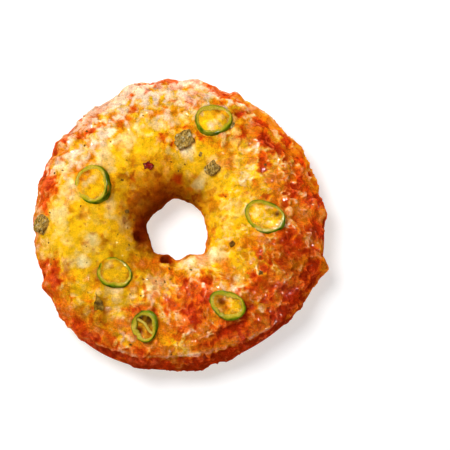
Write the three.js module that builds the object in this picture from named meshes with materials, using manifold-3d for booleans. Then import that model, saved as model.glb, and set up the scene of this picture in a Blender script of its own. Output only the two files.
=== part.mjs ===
// A pizza doughnut: a baked bread ring under a skin of melted cheese and tomato sauce,
// with six slices of green chilli and three pieces of diced pepper half sunk in it.
// Millimetres, +Z up. The origin is the centre of the ring, on the surface it rests on.
import * as THREE from "three";
import { mergeVertices } from "three/addons/utils/BufferGeometryUtils.js";
import Module from "manifold-3d";

const wasm = await Module();
wasm.setup();

// ---------------------------------------------------------------- driving dimensions
const OUTER_RADIUS = 62.3; // over the topping, before the lumps of the rim
const HOLE_RADIUS = 12.8; // the hole at its narrowest, between skins
const HEIGHT = 29; // the ring with its topping
const TOP_THICKNESS = 2.1; // cheese and sauce on the crown
const SIDE_THICKNESS = 1.3; // and on the walls
const EQUATOR = 12; // height at which the ring is widest
const FLAT_SHARE = 0.45; // of the half width that rests on the table
const GAP = 0.3; // between touching pieces
const LINING_GAP = 0.35; // between the bread and the skin of cheese, at the corners of their facets
const UNDERLAY = 0.9; // height above the bread at which the pieces in the cheese lie

// How finely the faceted solids are cut
const DOUGH_FACETS = 48; // round the bread, and round the skin's inner face that follows it
const DOUGH_ROWS = 18;
const TOPPING_FACET = 2.6;
const TOPPING_ROWS = 25;
const LINING_ROWS = 13; // of that face, between the widest lines outside and in the hole
const LINING_EDGE_ROWS = 3; // from there to each edge
const ROW_EVENING = 0.105; // evens out the rows' spacing on the flattened section

const DEGREE = Math.PI / 180;
const CROWN_RISE = HEIGHT - TOP_THICKNESS - EQUATOR;
const BELLY_DROP = EQUATOR / Math.sqrt(1 - FLAT_SHARE ** 2);
const BASE_ANGLE = Math.asin(EQUATOR / BELLY_DROP);

// Neither outline is a true circle: [waves round the ring, height in mm, angle of a crest]
const OUTLINE_WAVES = [
  [1, 1.0, 207],
  [2, 0.4, 94],
  [3, 0.9, 109],
  [4, 0.6, 62],
  [6, 0.25, 41],
];
const HOLE_WAVES = [
  [1, 2.4, 249],
  [2, 0.4, 100],
  [3, 0.5, 84],
  [5, 0.5, 27],
];

// Lumps (+) and dents (-) of the rim, which fade up and down the section:
// [angle, height in mm, half width in degrees]
const RIM_ARC = 0.1; // where on the section they are highest, in radians
const RIM_SPREAD = 0.45;
const RIM_LUMPS = [
  [4, 2.2, 2.8],
  [343, 3.2, 2.8],
  [352, -2.0, 4],
  [333, -1.2, 3],
  [319, 1.0, 4],
  [303, -1.2, 6],
  [290, 1.2, 2.8],
  [255, 1.1, 4],
  [247, -1.8, 2.8],
  [229, 0.9, 3],
  [206, 1.2, 3],
  [139, -1.2, 2.8],
  [119, -1.1, 2.8],
  [111, 1.7, 3],
  [84, 0.9, 3],
  [72, -1.2, 2.8],
  [67, 1.4, 2.6],
];

// The same in the hole, where a lump (+) makes the hole wider
const HOLE_LUMPS = [
  [229, 0.9, 9],
  [251, -1.0, 6],
  [268, 1.0, 7],
  [289, -0.9, 8],
  [307, 1.2, 8],
  [178, 0.5, 14],
];

// The cheese ends in a ledge over the lower part of one side: where round the ring, how wide a stretch,
// how high up the section (degrees of its arc) and how tall the step is. Then, in radians of the section,
// how far its brow reaches up and how wide the step itself is, and the shares of the half span between
// which the ledge fades out at its ends.
const LEDGE = {
  middle: 274.5, halfSpan: 50.5, top: 34, step: 1.4,
  brow: 0.5, slope: 0.07, ends: [0.85, 1.15],
};

// Folds in the cheese: [angle, distance] of one end, the same of the other, depth and half width in mm
const FOLDS = [
  [[289.5, 51.8], [303, 51], 1.2, 1.5],
  [[236, 47], [248, 42], 0.6, 1.4],
  [[20, 53], [46, 50], 0.8, 1.5],
  [[112, 50], [139, 54], 0.8, 1.6],
];
const LIP_REACH = 2.2; // how far the lip beside a fold or pit reaches, for the width of the fold or pit
const FOLD_LIP = 0.5; // height of a fold's lip, for its depth

// Lumps all over the cheese: how wide and how high they are in mm
const LUMPS = { wide: 8.5, high: 1.1 };
const SMALL_LUMPS = { wide: 4.6, high: 0.7 };
const LEAST_THICKNESS = 0.8;

// Pools where the cheese melted smooth: [angle, distance from the centre, radius, share of lumps lost]
const POOLS = [
  [186, 43, 17, 0.6],
  [212, 31, 11, 0.5],
  [128, 33, 13, 0.5],
  [2, 21, 9, 0.5],
];
const WALL_CALM = 0.6; // share of the lumps that the wall of the hole lacks
const WALL_ARCS = [2.1, 2.7]; // where on the section that sets in, in radians
const PIECE_CALM = 0.85; // share of the lumps lost where a slice or dice lies
const PIECE_REACH = 8; // and how far round it

// Dark pits in the cheese beside the hole: [angle, distance from the centre, radius, depth]
const PIT_LIP = 0.8;
const PITS = [
  [203, 19.6, 2.8, 2.2],
  [251, 18.9, 2.6, 2.6],
];

// How far the skin reaches past the widest lines, outside and in the hole, and how much that wavers,
// in degrees of the section
const OUTER_REACH = 18;
const HOLE_REACH = 14;
const EDGE_WAVER = 9;

// Tongues of cheese that ran down past the skin's edge, outside and in the hole:
// [angle, extra reach in degrees of the section, half width in degrees]
const OUTER_TONGUES = [
  [20, 7, 9],
  [75, 10, 7],
  [128, 6, 10],
  [170, 10, 6],
  [212, 7, 9],
  [262, 9, 8],
  [310, 8, 11],
];
const HOLE_TONGUES = [
  [35, 10, 17],
  [118, 15, 20],
  [215, 9, 18],
  [295, 12, 16],
];

// Slices of green chilli: where they lie, their length and width, the turn of the length and the wall's
// thickness, then their height and how much of it is sunk, how far they lean and to which side, how high
// the cheese stands in them (share of the height that shows). Two have a rib across the inside: the turn
// of the rib from the slice's length, how far it runs beside the middle, and its length.
const SLICES = [
  { angle: 71.3, from: 43.6, long: 15.6, wide: 13.8, turn: 18, wall: 1.9,
    tall: 3.8, sunk: 2.1, lean: 8, side: 60, cheese: 0.7 },
  { angle: 159.4, from: 38.8, long: 16.4, wide: 14.7, turn: 105, wall: 1.8,
    tall: 5.2, sunk: 3.2, lean: 18, side: 176, cheese: 0.62 },
  { angle: -0.2, from: 35.9, long: 17.4, wide: 12.8, turn: -28, wall: 1.4,
    tall: 3.6, sunk: 2.0, lean: 6, side: 200, cheese: 0.5, rib: { turn: 93, beside: 2.2, long: 11.2 } },
  { angle: 221.7, from: 36.3, long: 14.5, wide: 12.3, turn: -25, wall: 1.2,
    tall: 3.2, sunk: 2.0, lean: 3, side: 140, cheese: 0.9 },
  { angle: 253.1, from: 47.8, long: 13.0, wide: 10.5, turn: 85, wall: 2.0,
    tall: 4.2, sunk: 2.4, lean: 9, side: 200, cheese: 0.1, rib: { turn: 47, beside: 0.2, long: 9.8 } },
  { angle: 298.1, from: 42.4, long: 15.4, wide: 11.1, turn: -25, wall: 2.4,
    tall: 3.6, sunk: 2.0, lean: 6, side: 150, cheese: 0.35 },
];
const SLICE_SIDES = 20;
const SLICE_LOBES = 0.035; // share of the radius by which the three lobes stand out
const LOBE_TURN = 2.1; // how far the lobes turn from one slice to the next, in radians
const SLICE_BEVEL = 0.4; // of the outer edge of the cut face
const RIB_THICKNESS = 0.8;
const RIB_DROP = 0.7; // the rib's top below the cut face
const DOME_FOOT = 1.1; // how far the cheese in a slice reaches down into the skin

// Diced pepper: where the pieces lie, their size, their turn and how deep they sit
const DICE = [
  { angle: 86.6, from: 33.4, size: [7.0, 6.2, 3.8], turn: 25, sunk: 1.3 },
  { angle: 56.7, from: 25.6, size: [5.2, 4.6, 3.2], turn: 40, sunk: 1.2 },
  { angle: 181.9, from: 56.5, size: [6.8, 5.8, 3.2], turn: 45, sunk: 0.9 },
];
const DICE_JITTER = 0.16; // of the size, how uneven the corners are
const DICE_ROUNDING = 0.1; // and how far they are drawn in
const DICE_SEED = 7;

// Small scraps lying in the cheese: [angle, distance, length, width, height, turn]
const SCRAPS = [
  [227.3, 48.7, 5.6, 3.8, 1.1, 100], // tip of a chilli
  [61.2, 45, 4.4, 3.2, 1.4, 60], // browned pepper
  [72, 28.8, 3.4, 2.2, 1.1, 70],
  [120.8, 26.5, 4.0, 3.0, 1.2, 20], // tomato
  [171.9, 23, 2.4, 1.8, 0.8, 10], // herb leaves
  [333.4, 25.4, 2.2, 1.8, 0.8, 30],
  [324.6, 41.5, 2.2, 1.8, 0.8, 80],
];

// Flecks of dried herb, scattered by a seeded draw: between which angles and distances, and how far they
// keep from the slices and dice
const FLECKS = { count: 14, seed: 5, angles: [150, 340], distances: [24, 50], clear: 10 };
const FLECK_LENGTHS = [1.2, 2.2];
const FLECK_WIDTH = 0.55; // for its length
const FLECK_HEIGHT = 0.55;

// ---------------------------------------------------------------- small helpers
const clamp = (value, low, high) => Math.min(high, Math.max(low, value));

function smooth(low, high, value) {
  const t = clamp((value - low) / (high - low), 0, 1);
  return t * t * (3 - 2 * t);
}

// Signed difference of two angles in degrees, -180 to 180
const turnBetween = (a, b) => ((((a - b) % 360) + 540) % 360) - 180;

const bell = (distance, halfWidth) => Math.exp(-((distance / halfWidth) ** 2));

// A repeatable number from 0 to 1 for each corner of a unit lattice
function latticeValue(ix, iy, iz, seed) {
  let h = Math.imul(ix, 374761393) + Math.imul(iy, 668265263);
  h += Math.imul(iz, 1440662683) + Math.imul(seed, 1013904223);
  h = Math.imul(h ^ (h >>> 13), 1274126177);
  return ((h ^ (h >>> 16)) >>> 0) / 4294967295;
}

// Smooth noise from -1 to 1, with lumps about `grain` mm apart
function lumpNoise(point, grain, seed) {
  const cell = point.map((v) => Math.floor(v / grain));
  const [u, v, w] = point.map((c, k) => smooth(0, 1, c / grain - cell[k]));
  const corner = (i, j, k) => latticeValue(cell[0] + i, cell[1] + j, cell[2] + k, seed);
  const mix = (a, b, t) => a + (b - a) * t;
  const layer = (k) =>
    mix(mix(corner(0, 0, k), corner(1, 0, k), u), mix(corner(0, 1, k), corner(1, 1, k), u), v);
  return 2 * mix(layer(0), layer(1), w) - 1;
}

// ---------------------------------------------------------------- the ring's section
const waves = (list, turn) =>
  list.reduce((sum, [count, height, crest]) => sum + height * Math.cos(count * (turn - crest) * DEGREE), 0);

// Sum of the bells that a list of [angle, height, half width] sets round the ring
const lumps = (list, turn) =>
  list.reduce((sum, [at, height, width]) => sum + height * bell(turnBetween(turn, at), width), 0);

// The bread's section at a turn: the radius of its middle and half its width
function section(turn) {
  const outside = OUTER_RADIUS + waves(OUTLINE_WAVES, turn) - SIDE_THICKNESS;
  const inside = HOLE_RADIUS + waves(HOLE_WAVES, turn) + lumps(HOLE_LUMPS, turn) + SIDE_THICKNESS;
  return { middle: (outside + inside) / 2, halfWidth: (outside - inside) / 2 };
}

// A point of the bread's skin, or `lift` mm outside it. `turn` goes round the ring in degrees; `arc` goes
// round the section in radians: 0 outside, a quarter turn on the crown, a half turn in the hole.
function skinPoint(turn, arc, lift) {
  const { middle, halfWidth } = section(turn);
  const rise = Math.sin(arc) > 0 ? CROWN_RISE : BELLY_DROP;
  const normal = new THREE.Vector2(Math.cos(arc) / halfWidth, Math.sin(arc) / rise).normalize();
  const radius = middle + halfWidth * Math.cos(arc) + lift * normal.x;
  const height = EQUATOR + rise * Math.sin(arc) + lift * normal.y;
  return [radius * Math.cos(turn * DEGREE), radius * Math.sin(turn * DEGREE), height];
}

// The section's arc above a distance from the ring's centre, on the crown side
function arcAt(turn, distance) {
  const { middle, halfWidth } = section(turn);
  return Math.acos(clamp((distance - middle) / halfWidth, -0.995, 0.995));
}

// ---------------------------------------------------------------- the skin of cheese and sauce
// A wavering from -1 to 1 round the ring, of long and short waves
function edgeWave(turn, seed) {
  const round = [Math.cos(turn * DEGREE), Math.sin(turn * DEGREE), 0];
  return lumpNoise(round, 0.45, seed) * 0.6 + lumpNoise(round, 0.2, seed + 1) * 0.4;
}

// Where the skin ends, as arcs of the section: below the widest line outside and in the hole
function outerEdge(turn) {
  return -(OUTER_REACH + EDGE_WAVER * edgeWave(turn, 31) + lumps(OUTER_TONGUES, turn)) * DEGREE;
}

function holeEdge(turn) {
  return Math.PI + (HOLE_REACH + EDGE_WAVER * edgeWave(turn, 41) + lumps(HOLE_TONGUES, turn)) * DEGREE;
}

// Thickness of the skin without its relief
const plainThickness = (arc) =>
  SIDE_THICKNESS + (TOP_THICKNESS - SIDE_THICKNESS) * Math.max(0, Math.sin(arc));

// Distance of a place, seen from above, from the stretch between two places given as [angle, distance]
function awayFromStretch(place, [angleA, fromA], [angleB, fromB]) {
  const a = new THREE.Vector2(fromA * Math.cos(angleA * DEGREE), fromA * Math.sin(angleA * DEGREE));
  const b = new THREE.Vector2(fromB * Math.cos(angleB * DEGREE), fromB * Math.sin(angleB * DEGREE));
  const ab = b.clone().sub(a);
  const p = new THREE.Vector2(place[0], place[1]).sub(a);
  return p.distanceTo(ab.multiplyScalar(clamp(p.dot(ab) / ab.lengthSq(), 0, 1)));
}

function awayFromSpot(place, angle, distance) {
  const spot = skinPoint(angle, arcAt(angle, distance), 0);
  return Math.hypot(place[0] - spot[0], place[1] - spot[1], place[2] - spot[2]);
}

// What the ledge adds to the cheese above it and takes from the side below it
function ledgeStep(turn, arc) {
  const along = Math.abs(turnBetween(turn, LEDGE.middle)) / LEDGE.halfSpan;
  const edge = LEDGE.top * Math.sqrt(Math.max(0, 1 - along * along)) * DEGREE;
  const above = smooth(-LEDGE.slope, LEDGE.slope, arc - edge);
  const strength = (LEDGE.step / 2) * (0.5 + 0.5 * along) * (1 - smooth(...LEDGE.ends, along));
  return strength * (above * bell(Math.max(0, arc - edge), LEDGE.brow) - (1 - above));
}

// Turns noise into rounded lumps with narrow creases between them
const pillow = (noise) => 2.2 * Math.sqrt(noise * noise + 0.02) - 0.9;

// Thickness of the skin at a place, with its lumps, folds and pits
function skinThickness(turn, arc) {
  const place = skinPoint(turn, arc, 0);
  let relief = LUMPS.high * pillow(lumpNoise(place, LUMPS.wide, 1));
  relief += SMALL_LUMPS.high * lumpNoise(place, SMALL_LUMPS.wide, 2);
  for (const [from, to, depth, width] of FOLDS) {
    const away = arc > 0 ? awayFromStretch(place, from, to) : Infinity;
    relief += FOLD_LIP * depth * bell(away, LIP_REACH * width) - (1 + FOLD_LIP) * depth * bell(away, width);
  }
  for (const [at, distance, radius, share] of POOLS)
    relief *= 1 - share * bell(awayFromSpot(place, at, distance), radius);
  for (const piece of [...SLICES, ...DICE])
    relief *= 1 - PIECE_CALM * bell(awayFromSpot(place, piece.angle, piece.from), PIECE_REACH);
  relief *= 1 - WALL_CALM * smooth(...WALL_ARCS, arc);
  relief += lumps(RIM_LUMPS, turn) * bell(arc - RIM_ARC, RIM_SPREAD) + ledgeStep(turn, arc);
  for (const [at, distance, radius, depth] of PITS) {
    const away = awayFromSpot(place, at, distance);
    relief += PIT_LIP * bell(away, LIP_REACH * radius) - (depth + PIT_LIP) * bell(away, radius) ** 2;
  }
  return Math.max(plainThickness(arc) + relief, LEAST_THICKNESS);
}

// ---------------------------------------------------------------- meshes and solids
// A ring-shaped closed mesh from rows that run round the ring, each with as many points as it needs:
// `counts` gives them, and pointAt(row, turn) a point. The last row is joined to the first.
function ringGeometry(counts, pointAt) {
  const positions = [];
  const index = [];
  const starts = [];
  counts.forEach((count, row) => {
    starts.push(positions.length / 3);
    for (let i = 0; i < count; i++) positions.push(...pointAt(row, (360 * i) / count));
  });
  counts.forEach((count, row) => {
    const next = (row + 1) % counts.length;
    let i = 0;
    let k = 0;
    while (i < count || k < counts[next]) {
      const here = starts[row] + (i % count);
      const there = starts[next] + (k % counts[next]);
      if ((i + 1) * counts[next] <= (k + 1) * count) index.push(here, starts[row] + (++i % count), there);
      else index.push(here, starts[next] + (++k % counts[next]), there);
    }
  });
  const geometry = new THREE.BufferGeometry();
  geometry.setAttribute("position", new THREE.Float32BufferAttribute(positions, 3));
  geometry.setIndex(index);
  return geometry;
}

function toSolid(geometry) {
  const bare = geometry.clone();
  bare.deleteAttribute("normal");
  bare.deleteAttribute("uv");
  const merged = mergeVertices(bare, 1e-4);
  return new wasm.Manifold(
    new wasm.Mesh({
      numProp: 3,
      vertProperties: new Float32Array(merged.attributes.position.array),
      triVerts: new Uint32Array(merged.index.array),
    }),
  );
}

function toGeometry(solid) {
  const mesh = solid.getMesh();
  const positions = new Float32Array(mesh.numVert * 3);
  for (let i = 0; i < mesh.numVert; i++)
    positions.set(mesh.vertProperties.subarray(i * mesh.numProp, i * mesh.numProp + 3), i * 3);
  const geometry = new THREE.BufferGeometry();
  geometry.setAttribute("position", new THREE.BufferAttribute(positions, 3));
  geometry.setIndex(new THREE.BufferAttribute(mesh.triVerts, 1));
  geometry.computeVertexNormals();
  return geometry;
}

// The largest piece of a solid that cutting left in several
const largestPiece = (solid) => solid.decompose().reduce((a, b) => (a.volume() > b.volume() ? a : b));

const material = (color, roughness) => new THREE.MeshStandardMaterial({ color, roughness, metalness: 0 });

function namedMesh(name, geometry, look) {
  const mesh = new THREE.Mesh(geometry, look);
  mesh.name = name;
  return mesh;
}

// ---------------------------------------------------------------- bread
// The bread, or the same `lift` mm larger. Its first and last rows are the edges of the flat base.
function doughGeometry(lift) {
  const sweep = Math.PI + 2 * BASE_ANGLE;
  return ringGeometry(Array(DOUGH_ROWS).fill(DOUGH_FACETS), (row, turn) =>
    skinPoint(turn, -BASE_ANGLE + (sweep * row) / (DOUGH_ROWS - 1), lift),
  );
}

const grownBread = (lift) => toSolid(doughGeometry(lift));

// ---------------------------------------------------------------- frames on the curved top
// Position and axes of a piece that lies on the cheese: z is the surface's normal, x points along `spin`
function seat(angle, distance, spin, lean = 0, side = 0) {
  const arc = arcAt(angle, distance);
  const at = new THREE.Vector3(...skinPoint(angle, arc, plainThickness(arc)));
  const up = at.clone().sub(new THREE.Vector3(...skinPoint(angle, arc, 0))).normalize();
  const leanTo = new THREE.Vector3(Math.cos(side * DEGREE), Math.sin(side * DEGREE), 0);
  up.addScaledVector(leanTo, Math.tan(lean * DEGREE)).normalize();
  const along = new THREE.Vector3(Math.cos(spin * DEGREE), Math.sin(spin * DEGREE), 0);
  const across = new THREE.Vector3().crossVectors(up, along).normalize();
  const forward = new THREE.Vector3().crossVectors(across, up);
  return new THREE.Matrix4().makeBasis(forward, across, up).setPosition(at);
}

// ---------------------------------------------------------------- chilli slices
// Radius of a slice round its axis: an oval with three faint lobes, as a chilli has
function sliceRadius(slice, number, angle) {
  const round = angle * DEGREE;
  const oval = Math.hypot((2 * Math.cos(round)) / slice.long, (2 * Math.sin(round)) / slice.wide);
  return (1 + SLICE_LOBES * Math.cos(3 * round + LOBE_TURN * number)) / oval;
}

// A slice about its own seat, or the same `grow` mm larger all over
function sliceSolid(slice, number, grow) {
  const low = -slice.sunk - grow;
  const high = slice.tall - slice.sunk + grow;
  const profile = [
    [grow, low],
    [grow, high - SLICE_BEVEL],
    [grow - SLICE_BEVEL, high],
    [-slice.wall - grow, high],
    [-slice.wall - grow, low],
  ];
  const wall = toSolid(
    ringGeometry(Array(profile.length).fill(SLICE_SIDES), (row, angle) => {
      const radius = sliceRadius(slice, number, angle) + profile[row][0];
      return [radius * Math.cos(angle * DEGREE), radius * Math.sin(angle * DEGREE), profile[row][1]];
    }),
  );
  if (slice.rib === undefined) return wall;
  const tall = slice.tall - RIB_DROP + 2 * grow;
  const rib = new THREE.BoxGeometry(slice.rib.long, RIB_THICKNESS + 2 * grow, tall);
  rib.translate(0, -slice.rib.beside, low + tall / 2);
  rib.rotateZ(slice.rib.turn * DEGREE);
  return wall.add(toSolid(rib));
}

const sliceSeat = (slice) => seat(slice.angle, slice.from, slice.turn, slice.lean, slice.side);

// Cheese that rose inside a slice: a low dome that reaches into the slice's wall, where it is cut back
function cheeseInSlice(slice, number) {
  const height = slice.cheese * (slice.tall - slice.sunk);
  // Rows of the dome from the middle of its foot to its top: points, share of the radius, height
  const rows = [
    [3, 0.02, -DOME_FOOT],
    [16, 1, -DOME_FOOT],
    [16, 1, height * 0.75],
    [10, 0.5, height],
    [3, 0.02, height],
  ];
  const counts = rows.map(([points]) => points);
  const dome = ringGeometry(counts, (row, angle) => {
    const radius = (sliceRadius(slice, number, angle) - slice.wall / 2) * rows[row][1];
    return [radius * Math.cos(angle * DEGREE), radius * Math.sin(angle * DEGREE), rows[row][2]];
  });
  return toSolid(dome.applyMatrix4(sliceSeat(slice))).subtract(grownBread(GAP));
}

// ---------------------------------------------------------------- diced pepper and scraps
function diceGeometry(dice, number, grow) {
  const [length, width, height] = dice.size;
  const facets = new THREE.BoxGeometry(1, 1, 1, 2, 2, 2);
  const box = mergeVertices(facets.deleteAttribute("normal").deleteAttribute("uv"));
  const place = box.attributes.position;
  for (let i = 0; i < place.count; i++) {
    const jitter = (axis) => 1 + DICE_JITTER * (2 * latticeValue(i, axis, number, DICE_SEED) - 1);
    const outwards = Math.abs(place.getX(i)) + Math.abs(place.getY(i)) + Math.abs(place.getZ(i));
    const rounded = 1 - DICE_ROUNDING * outwards;
    place.setXYZ(
      i,
      place.getX(i) * rounded * jitter(0) * (length + 2 * grow),
      place.getY(i) * rounded * jitter(1) * (width + 2 * grow),
      place.getZ(i) * rounded * jitter(2) * (height + 2 * grow) + height / 2 - dice.sunk,
    );
  }
  return box;
}

const diceSeat = (dice) => seat(dice.angle, dice.from, dice.turn);

function scrapSolid(angle, distance, length, width, height, turn) {
  const scrap = new THREE.IcosahedronGeometry(1, 0).scale(length / 2, width / 2, height);
  return toSolid(scrap.applyMatrix4(seat(angle, distance, turn)));
}

function fleckSolids() {
  const flecks = [];
  for (let i = 0; i < FLECKS.count; i++) {
    const draw = (k, [low, high]) => low + (high - low) * latticeValue(i, k, 0, FLECKS.seed);
    const angle = draw(0, FLECKS.angles);
    const distance = draw(1, FLECKS.distances);
    const long = draw(2, FLECK_LENGTHS);
    const spin = draw(3, [0, 360]);
    const taken = [...SLICES, ...DICE].some(
      (piece) =>
        Math.abs(piece.from - distance) < FLECKS.clear &&
        Math.abs(turnBetween(piece.angle, angle)) * DEGREE * distance < FLECKS.clear,
    );
    if (!taken) flecks.push(scrapSolid(angle, distance, long, long * FLECK_WIDTH, FLECK_HEIGHT, spin));
  }
  return flecks;
}

// ---------------------------------------------------------------- the whole skin
// The arc of a share of the way from the outer edge to the hole's, so that the rows are evenly spaced
function rowArc(turn, share) {
  const even = outerEdge(turn) + (holeEdge(turn) - outerEdge(turn)) * share;
  return even + ROW_EVENING * Math.sin(2 * even);
}

// The arcs of the skin's inner face, from the hole's edge to the outer one
function liningArc(turn, row) {
  const belowHole = LINING_EDGE_ROWS - row;
  if (belowHole > 0) return Math.PI + ((holeEdge(turn) - Math.PI) * belowHole) / LINING_EDGE_ROWS;
  const belowOutside = row - LINING_EDGE_ROWS - LINING_ROWS;
  if (belowOutside > 0) return (outerEdge(turn) * belowOutside) / LINING_EDGE_ROWS;
  return (-Math.PI * belowOutside) / LINING_ROWS;
}

function toppingGeometry() {
  const counts = [];
  for (let row = 0; row <= TOPPING_ROWS; row++) {
    const reach = Math.hypot(...skinPoint(0, rowArc(0, row / TOPPING_ROWS), 0).slice(0, 2));
    counts.push(Math.round((2 * Math.PI * reach) / TOPPING_FACET));
  }
  for (let row = 0; row <= LINING_ROWS + 2 * LINING_EDGE_ROWS; row++) counts.push(DOUGH_FACETS);
  return ringGeometry(counts, (row, turn) => {
    if (row <= TOPPING_ROWS) {
      const arc = rowArc(turn, row / TOPPING_ROWS);
      return skinPoint(turn, arc, skinThickness(turn, arc));
    }
    return skinPoint(turn, liningArc(turn, row - TOPPING_ROWS - 1), LINING_GAP);
  });
}

// The room that a piece needs in the cheese, down to a thin layer that stays under it
const roomFor = (grownPiece, seated) =>
  toSolid(toGeometry(grownPiece).applyMatrix4(seated)).subtract(grownBread(UNDERLAY - GAP));

function toppingSolid() {
  let solid = toSolid(toppingGeometry());
  SLICES.forEach((slice, number) => (solid = solid.add(cheeseInSlice(slice, number))));
  for (const scrap of SCRAPS) solid = solid.add(scrapSolid(...scrap));
  for (const fleck of fleckSolids()) solid = solid.add(fleck);
  SLICES.forEach((slice, number) => {
    solid = solid.subtract(roomFor(sliceSolid(slice, number, GAP), sliceSeat(slice)));
  });
  DICE.forEach((dice, number) => {
    solid = solid.subtract(roomFor(toSolid(diceGeometry(dice, number, GAP)), diceSeat(dice)));
  });
  return largestPiece(solid);
}

// ---------------------------------------------------------------- the doughnut
const doughnut = new THREE.Group();
doughnut.add(namedMesh("dough_ring", doughGeometry(0), material(0xe8cfa4, 0.8)));
doughnut.add(namedMesh("cheese_and_sauce", toGeometry(toppingSolid()), material(0xeb9a2e, 0.4)));

// Adds a piece made about its own seat, cut off at the layer that it lies on
function addSeated(name, solid, seated, look) {
  const bread = toSolid(doughGeometry(UNDERLAY).applyMatrix4(seated.clone().invert()));
  const mesh = namedMesh(name, toGeometry(largestPiece(solid.subtract(bread))), look);
  mesh.applyMatrix4(seated);
  doughnut.add(mesh);
}

SLICES.forEach((slice, number) => {
  const solid = sliceSolid(slice, number, 0);
  addSeated(`chilli_slice_${number + 1}`, solid, sliceSeat(slice), material(0x6d9a22, 0.35));
});
DICE.forEach((dice, number) => {
  const solid = toSolid(diceGeometry(dice, number, 0));
  addSeated(`pepper_dice_${number + 1}`, solid, diceSeat(dice), material(0x7a6a26, 0.6));
});

export default doughnut;
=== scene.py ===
# %% [markdown]
# # A pizza doughnut
# The doughnut is a baked bread ring, 125 mm across, under a skin of melted cheese and tomato sauce. Rings
# cut from a green chilli, diced roast pepper and flecks of herb lie half sunk in the cheese. The packed
# model gives the plain solids. Here each of them is replaced by a finer mesh of the same form.

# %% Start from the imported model
import math

import bpy
import numpy as np
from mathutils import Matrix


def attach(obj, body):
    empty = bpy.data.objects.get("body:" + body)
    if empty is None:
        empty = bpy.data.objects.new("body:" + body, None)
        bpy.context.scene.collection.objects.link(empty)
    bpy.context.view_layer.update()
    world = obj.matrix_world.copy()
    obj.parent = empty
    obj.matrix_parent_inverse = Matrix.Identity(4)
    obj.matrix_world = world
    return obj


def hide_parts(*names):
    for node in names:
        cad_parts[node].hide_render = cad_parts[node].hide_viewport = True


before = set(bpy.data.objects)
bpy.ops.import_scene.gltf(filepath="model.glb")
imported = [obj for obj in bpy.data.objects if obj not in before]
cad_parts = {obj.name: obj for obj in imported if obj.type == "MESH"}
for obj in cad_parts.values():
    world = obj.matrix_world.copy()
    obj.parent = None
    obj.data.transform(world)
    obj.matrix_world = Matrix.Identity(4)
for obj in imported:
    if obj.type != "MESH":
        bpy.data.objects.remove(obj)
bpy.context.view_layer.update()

# %% [markdown]
# ## Colours and nodes
# Colours are picked as sRGB hex, as a painter reads them off a screen. Shaders work with linear light, so
# one function turns them over. Another adds a shader node: its settings are the node's own options, its
# inputs are numbers, colours or another node's output, by the input's name or number. Patterns are sized in
# millimetres.

# %% Helpers for every material
MM_PER_METRE = 1000
# A node that lays one colour over another, and the numbers of its inputs: how much of the upper colour
# shows, the colour below and the colour above
COLOUR_MIX = dict(kind="Mix", settings={"data_type": "RGBA"}, output=2)
SHARE, UNDER, OVER = 0, 6, 7


def linear(hex_colour):
    """Linear red, green, blue and alpha, by the curve of the sRGB standard."""
    parts = [int(hex_colour[i:i + 2], 16) / 255 for i in (1, 3, 5)]
    return [c / 12.92 if c <= 0.04045 else ((c + 0.055) / 1.055) ** 2.4 for c in parts] + [1.0]


def per_metre(size_mm):
    """The scale at which a pattern repeats every so many millimetres."""
    return MM_PER_METRE / size_mm


def add_node(tree, kind, settings=None, inputs=None, output=0):
    """Adds a shader node of a kind, and gives back one of its outputs, by name or number."""
    made = tree.nodes.new("ShaderNode" + kind)
    for name, value in (settings or {}).items():
        setattr(made, name, value)
    for name, value in (inputs or {}).items():
        if isinstance(value, bpy.types.NodeSocket):
            tree.links.new(value, made.inputs[name])
        else:
            made.inputs[name].default_value = value
    return made.outputs[output] if made.outputs else None


def new_material(name):
    material = bpy.data.materials.new(name)
    material.use_nodes = True
    tree = material.node_tree
    tree.nodes.clear()
    return material, tree


def finish_material(tree, surface):
    add_node(tree, "OutputMaterial", inputs={"Surface": surface})


# %% [markdown]
# ## The camera
# The photograph looks down on the doughnut from 12 degrees off straight above, from the front. A long lens
# of 200 mm at about a metre gives the same slight perspective: the front wall of the ring shows, the far
# one doesn't. The doughnut lies left of the picture's middle, so the camera looks at a point to the right
# of it.

# %% The camera
CAMERA_ELEVATION = math.radians(78)
CAMERA_DISTANCE = 1.062
CAMERA_LENS = 200
SENSOR_WIDTH = 36
AIM_POINT = (0.0191, 0.0, 0.012)


def make_camera():
    data = bpy.data.cameras.new("camera")
    data.lens = CAMERA_LENS
    data.sensor_width = SENSOR_WIDTH
    camera = bpy.data.objects.new("camera", data)
    bpy.context.collection.objects.link(camera)
    back = np.array([0, -math.cos(CAMERA_ELEVATION), math.sin(CAMERA_ELEVATION)])
    camera.location = np.array(AIM_POINT) + back * CAMERA_DISTANCE
    camera.rotation_euler = (math.pi / 2 - CAMERA_ELEVATION, 0, 0)
    return camera


bpy.context.scene.camera = make_camera()
print("the camera stands at", [round(v, 3) for v in bpy.context.scene.camera.location])

# %% [markdown]
# ## The form of the ring
# The bread's section is an oval that is flat below. Two numbers give a place on it: the turn round the
# ring, in degrees, and the arc round the section, in radians (0 outside, a quarter turn on the crown, a
# half turn in the hole). The same formulas made the solids, so everything built from them fits. Sizes are
# in millimetres.

# %% Sizes of the ring
OUTER_RADIUS = 62.3
HOLE_RADIUS = 12.8
HEIGHT = 29
TOP_THICKNESS = 2.1
SIDE_THICKNESS = 1.3
EQUATOR = 12
FLAT_SHARE = 0.45
CROWN_RISE = HEIGHT - TOP_THICKNESS - EQUATOR
BELLY_DROP = EQUATOR / math.sqrt(1 - FLAT_SHARE ** 2)
BASE_ANGLE = math.asin(EQUATOR / BELLY_DROP)
LINING_GAP = 0.35  # between the bread and the skin of cheese

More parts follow.
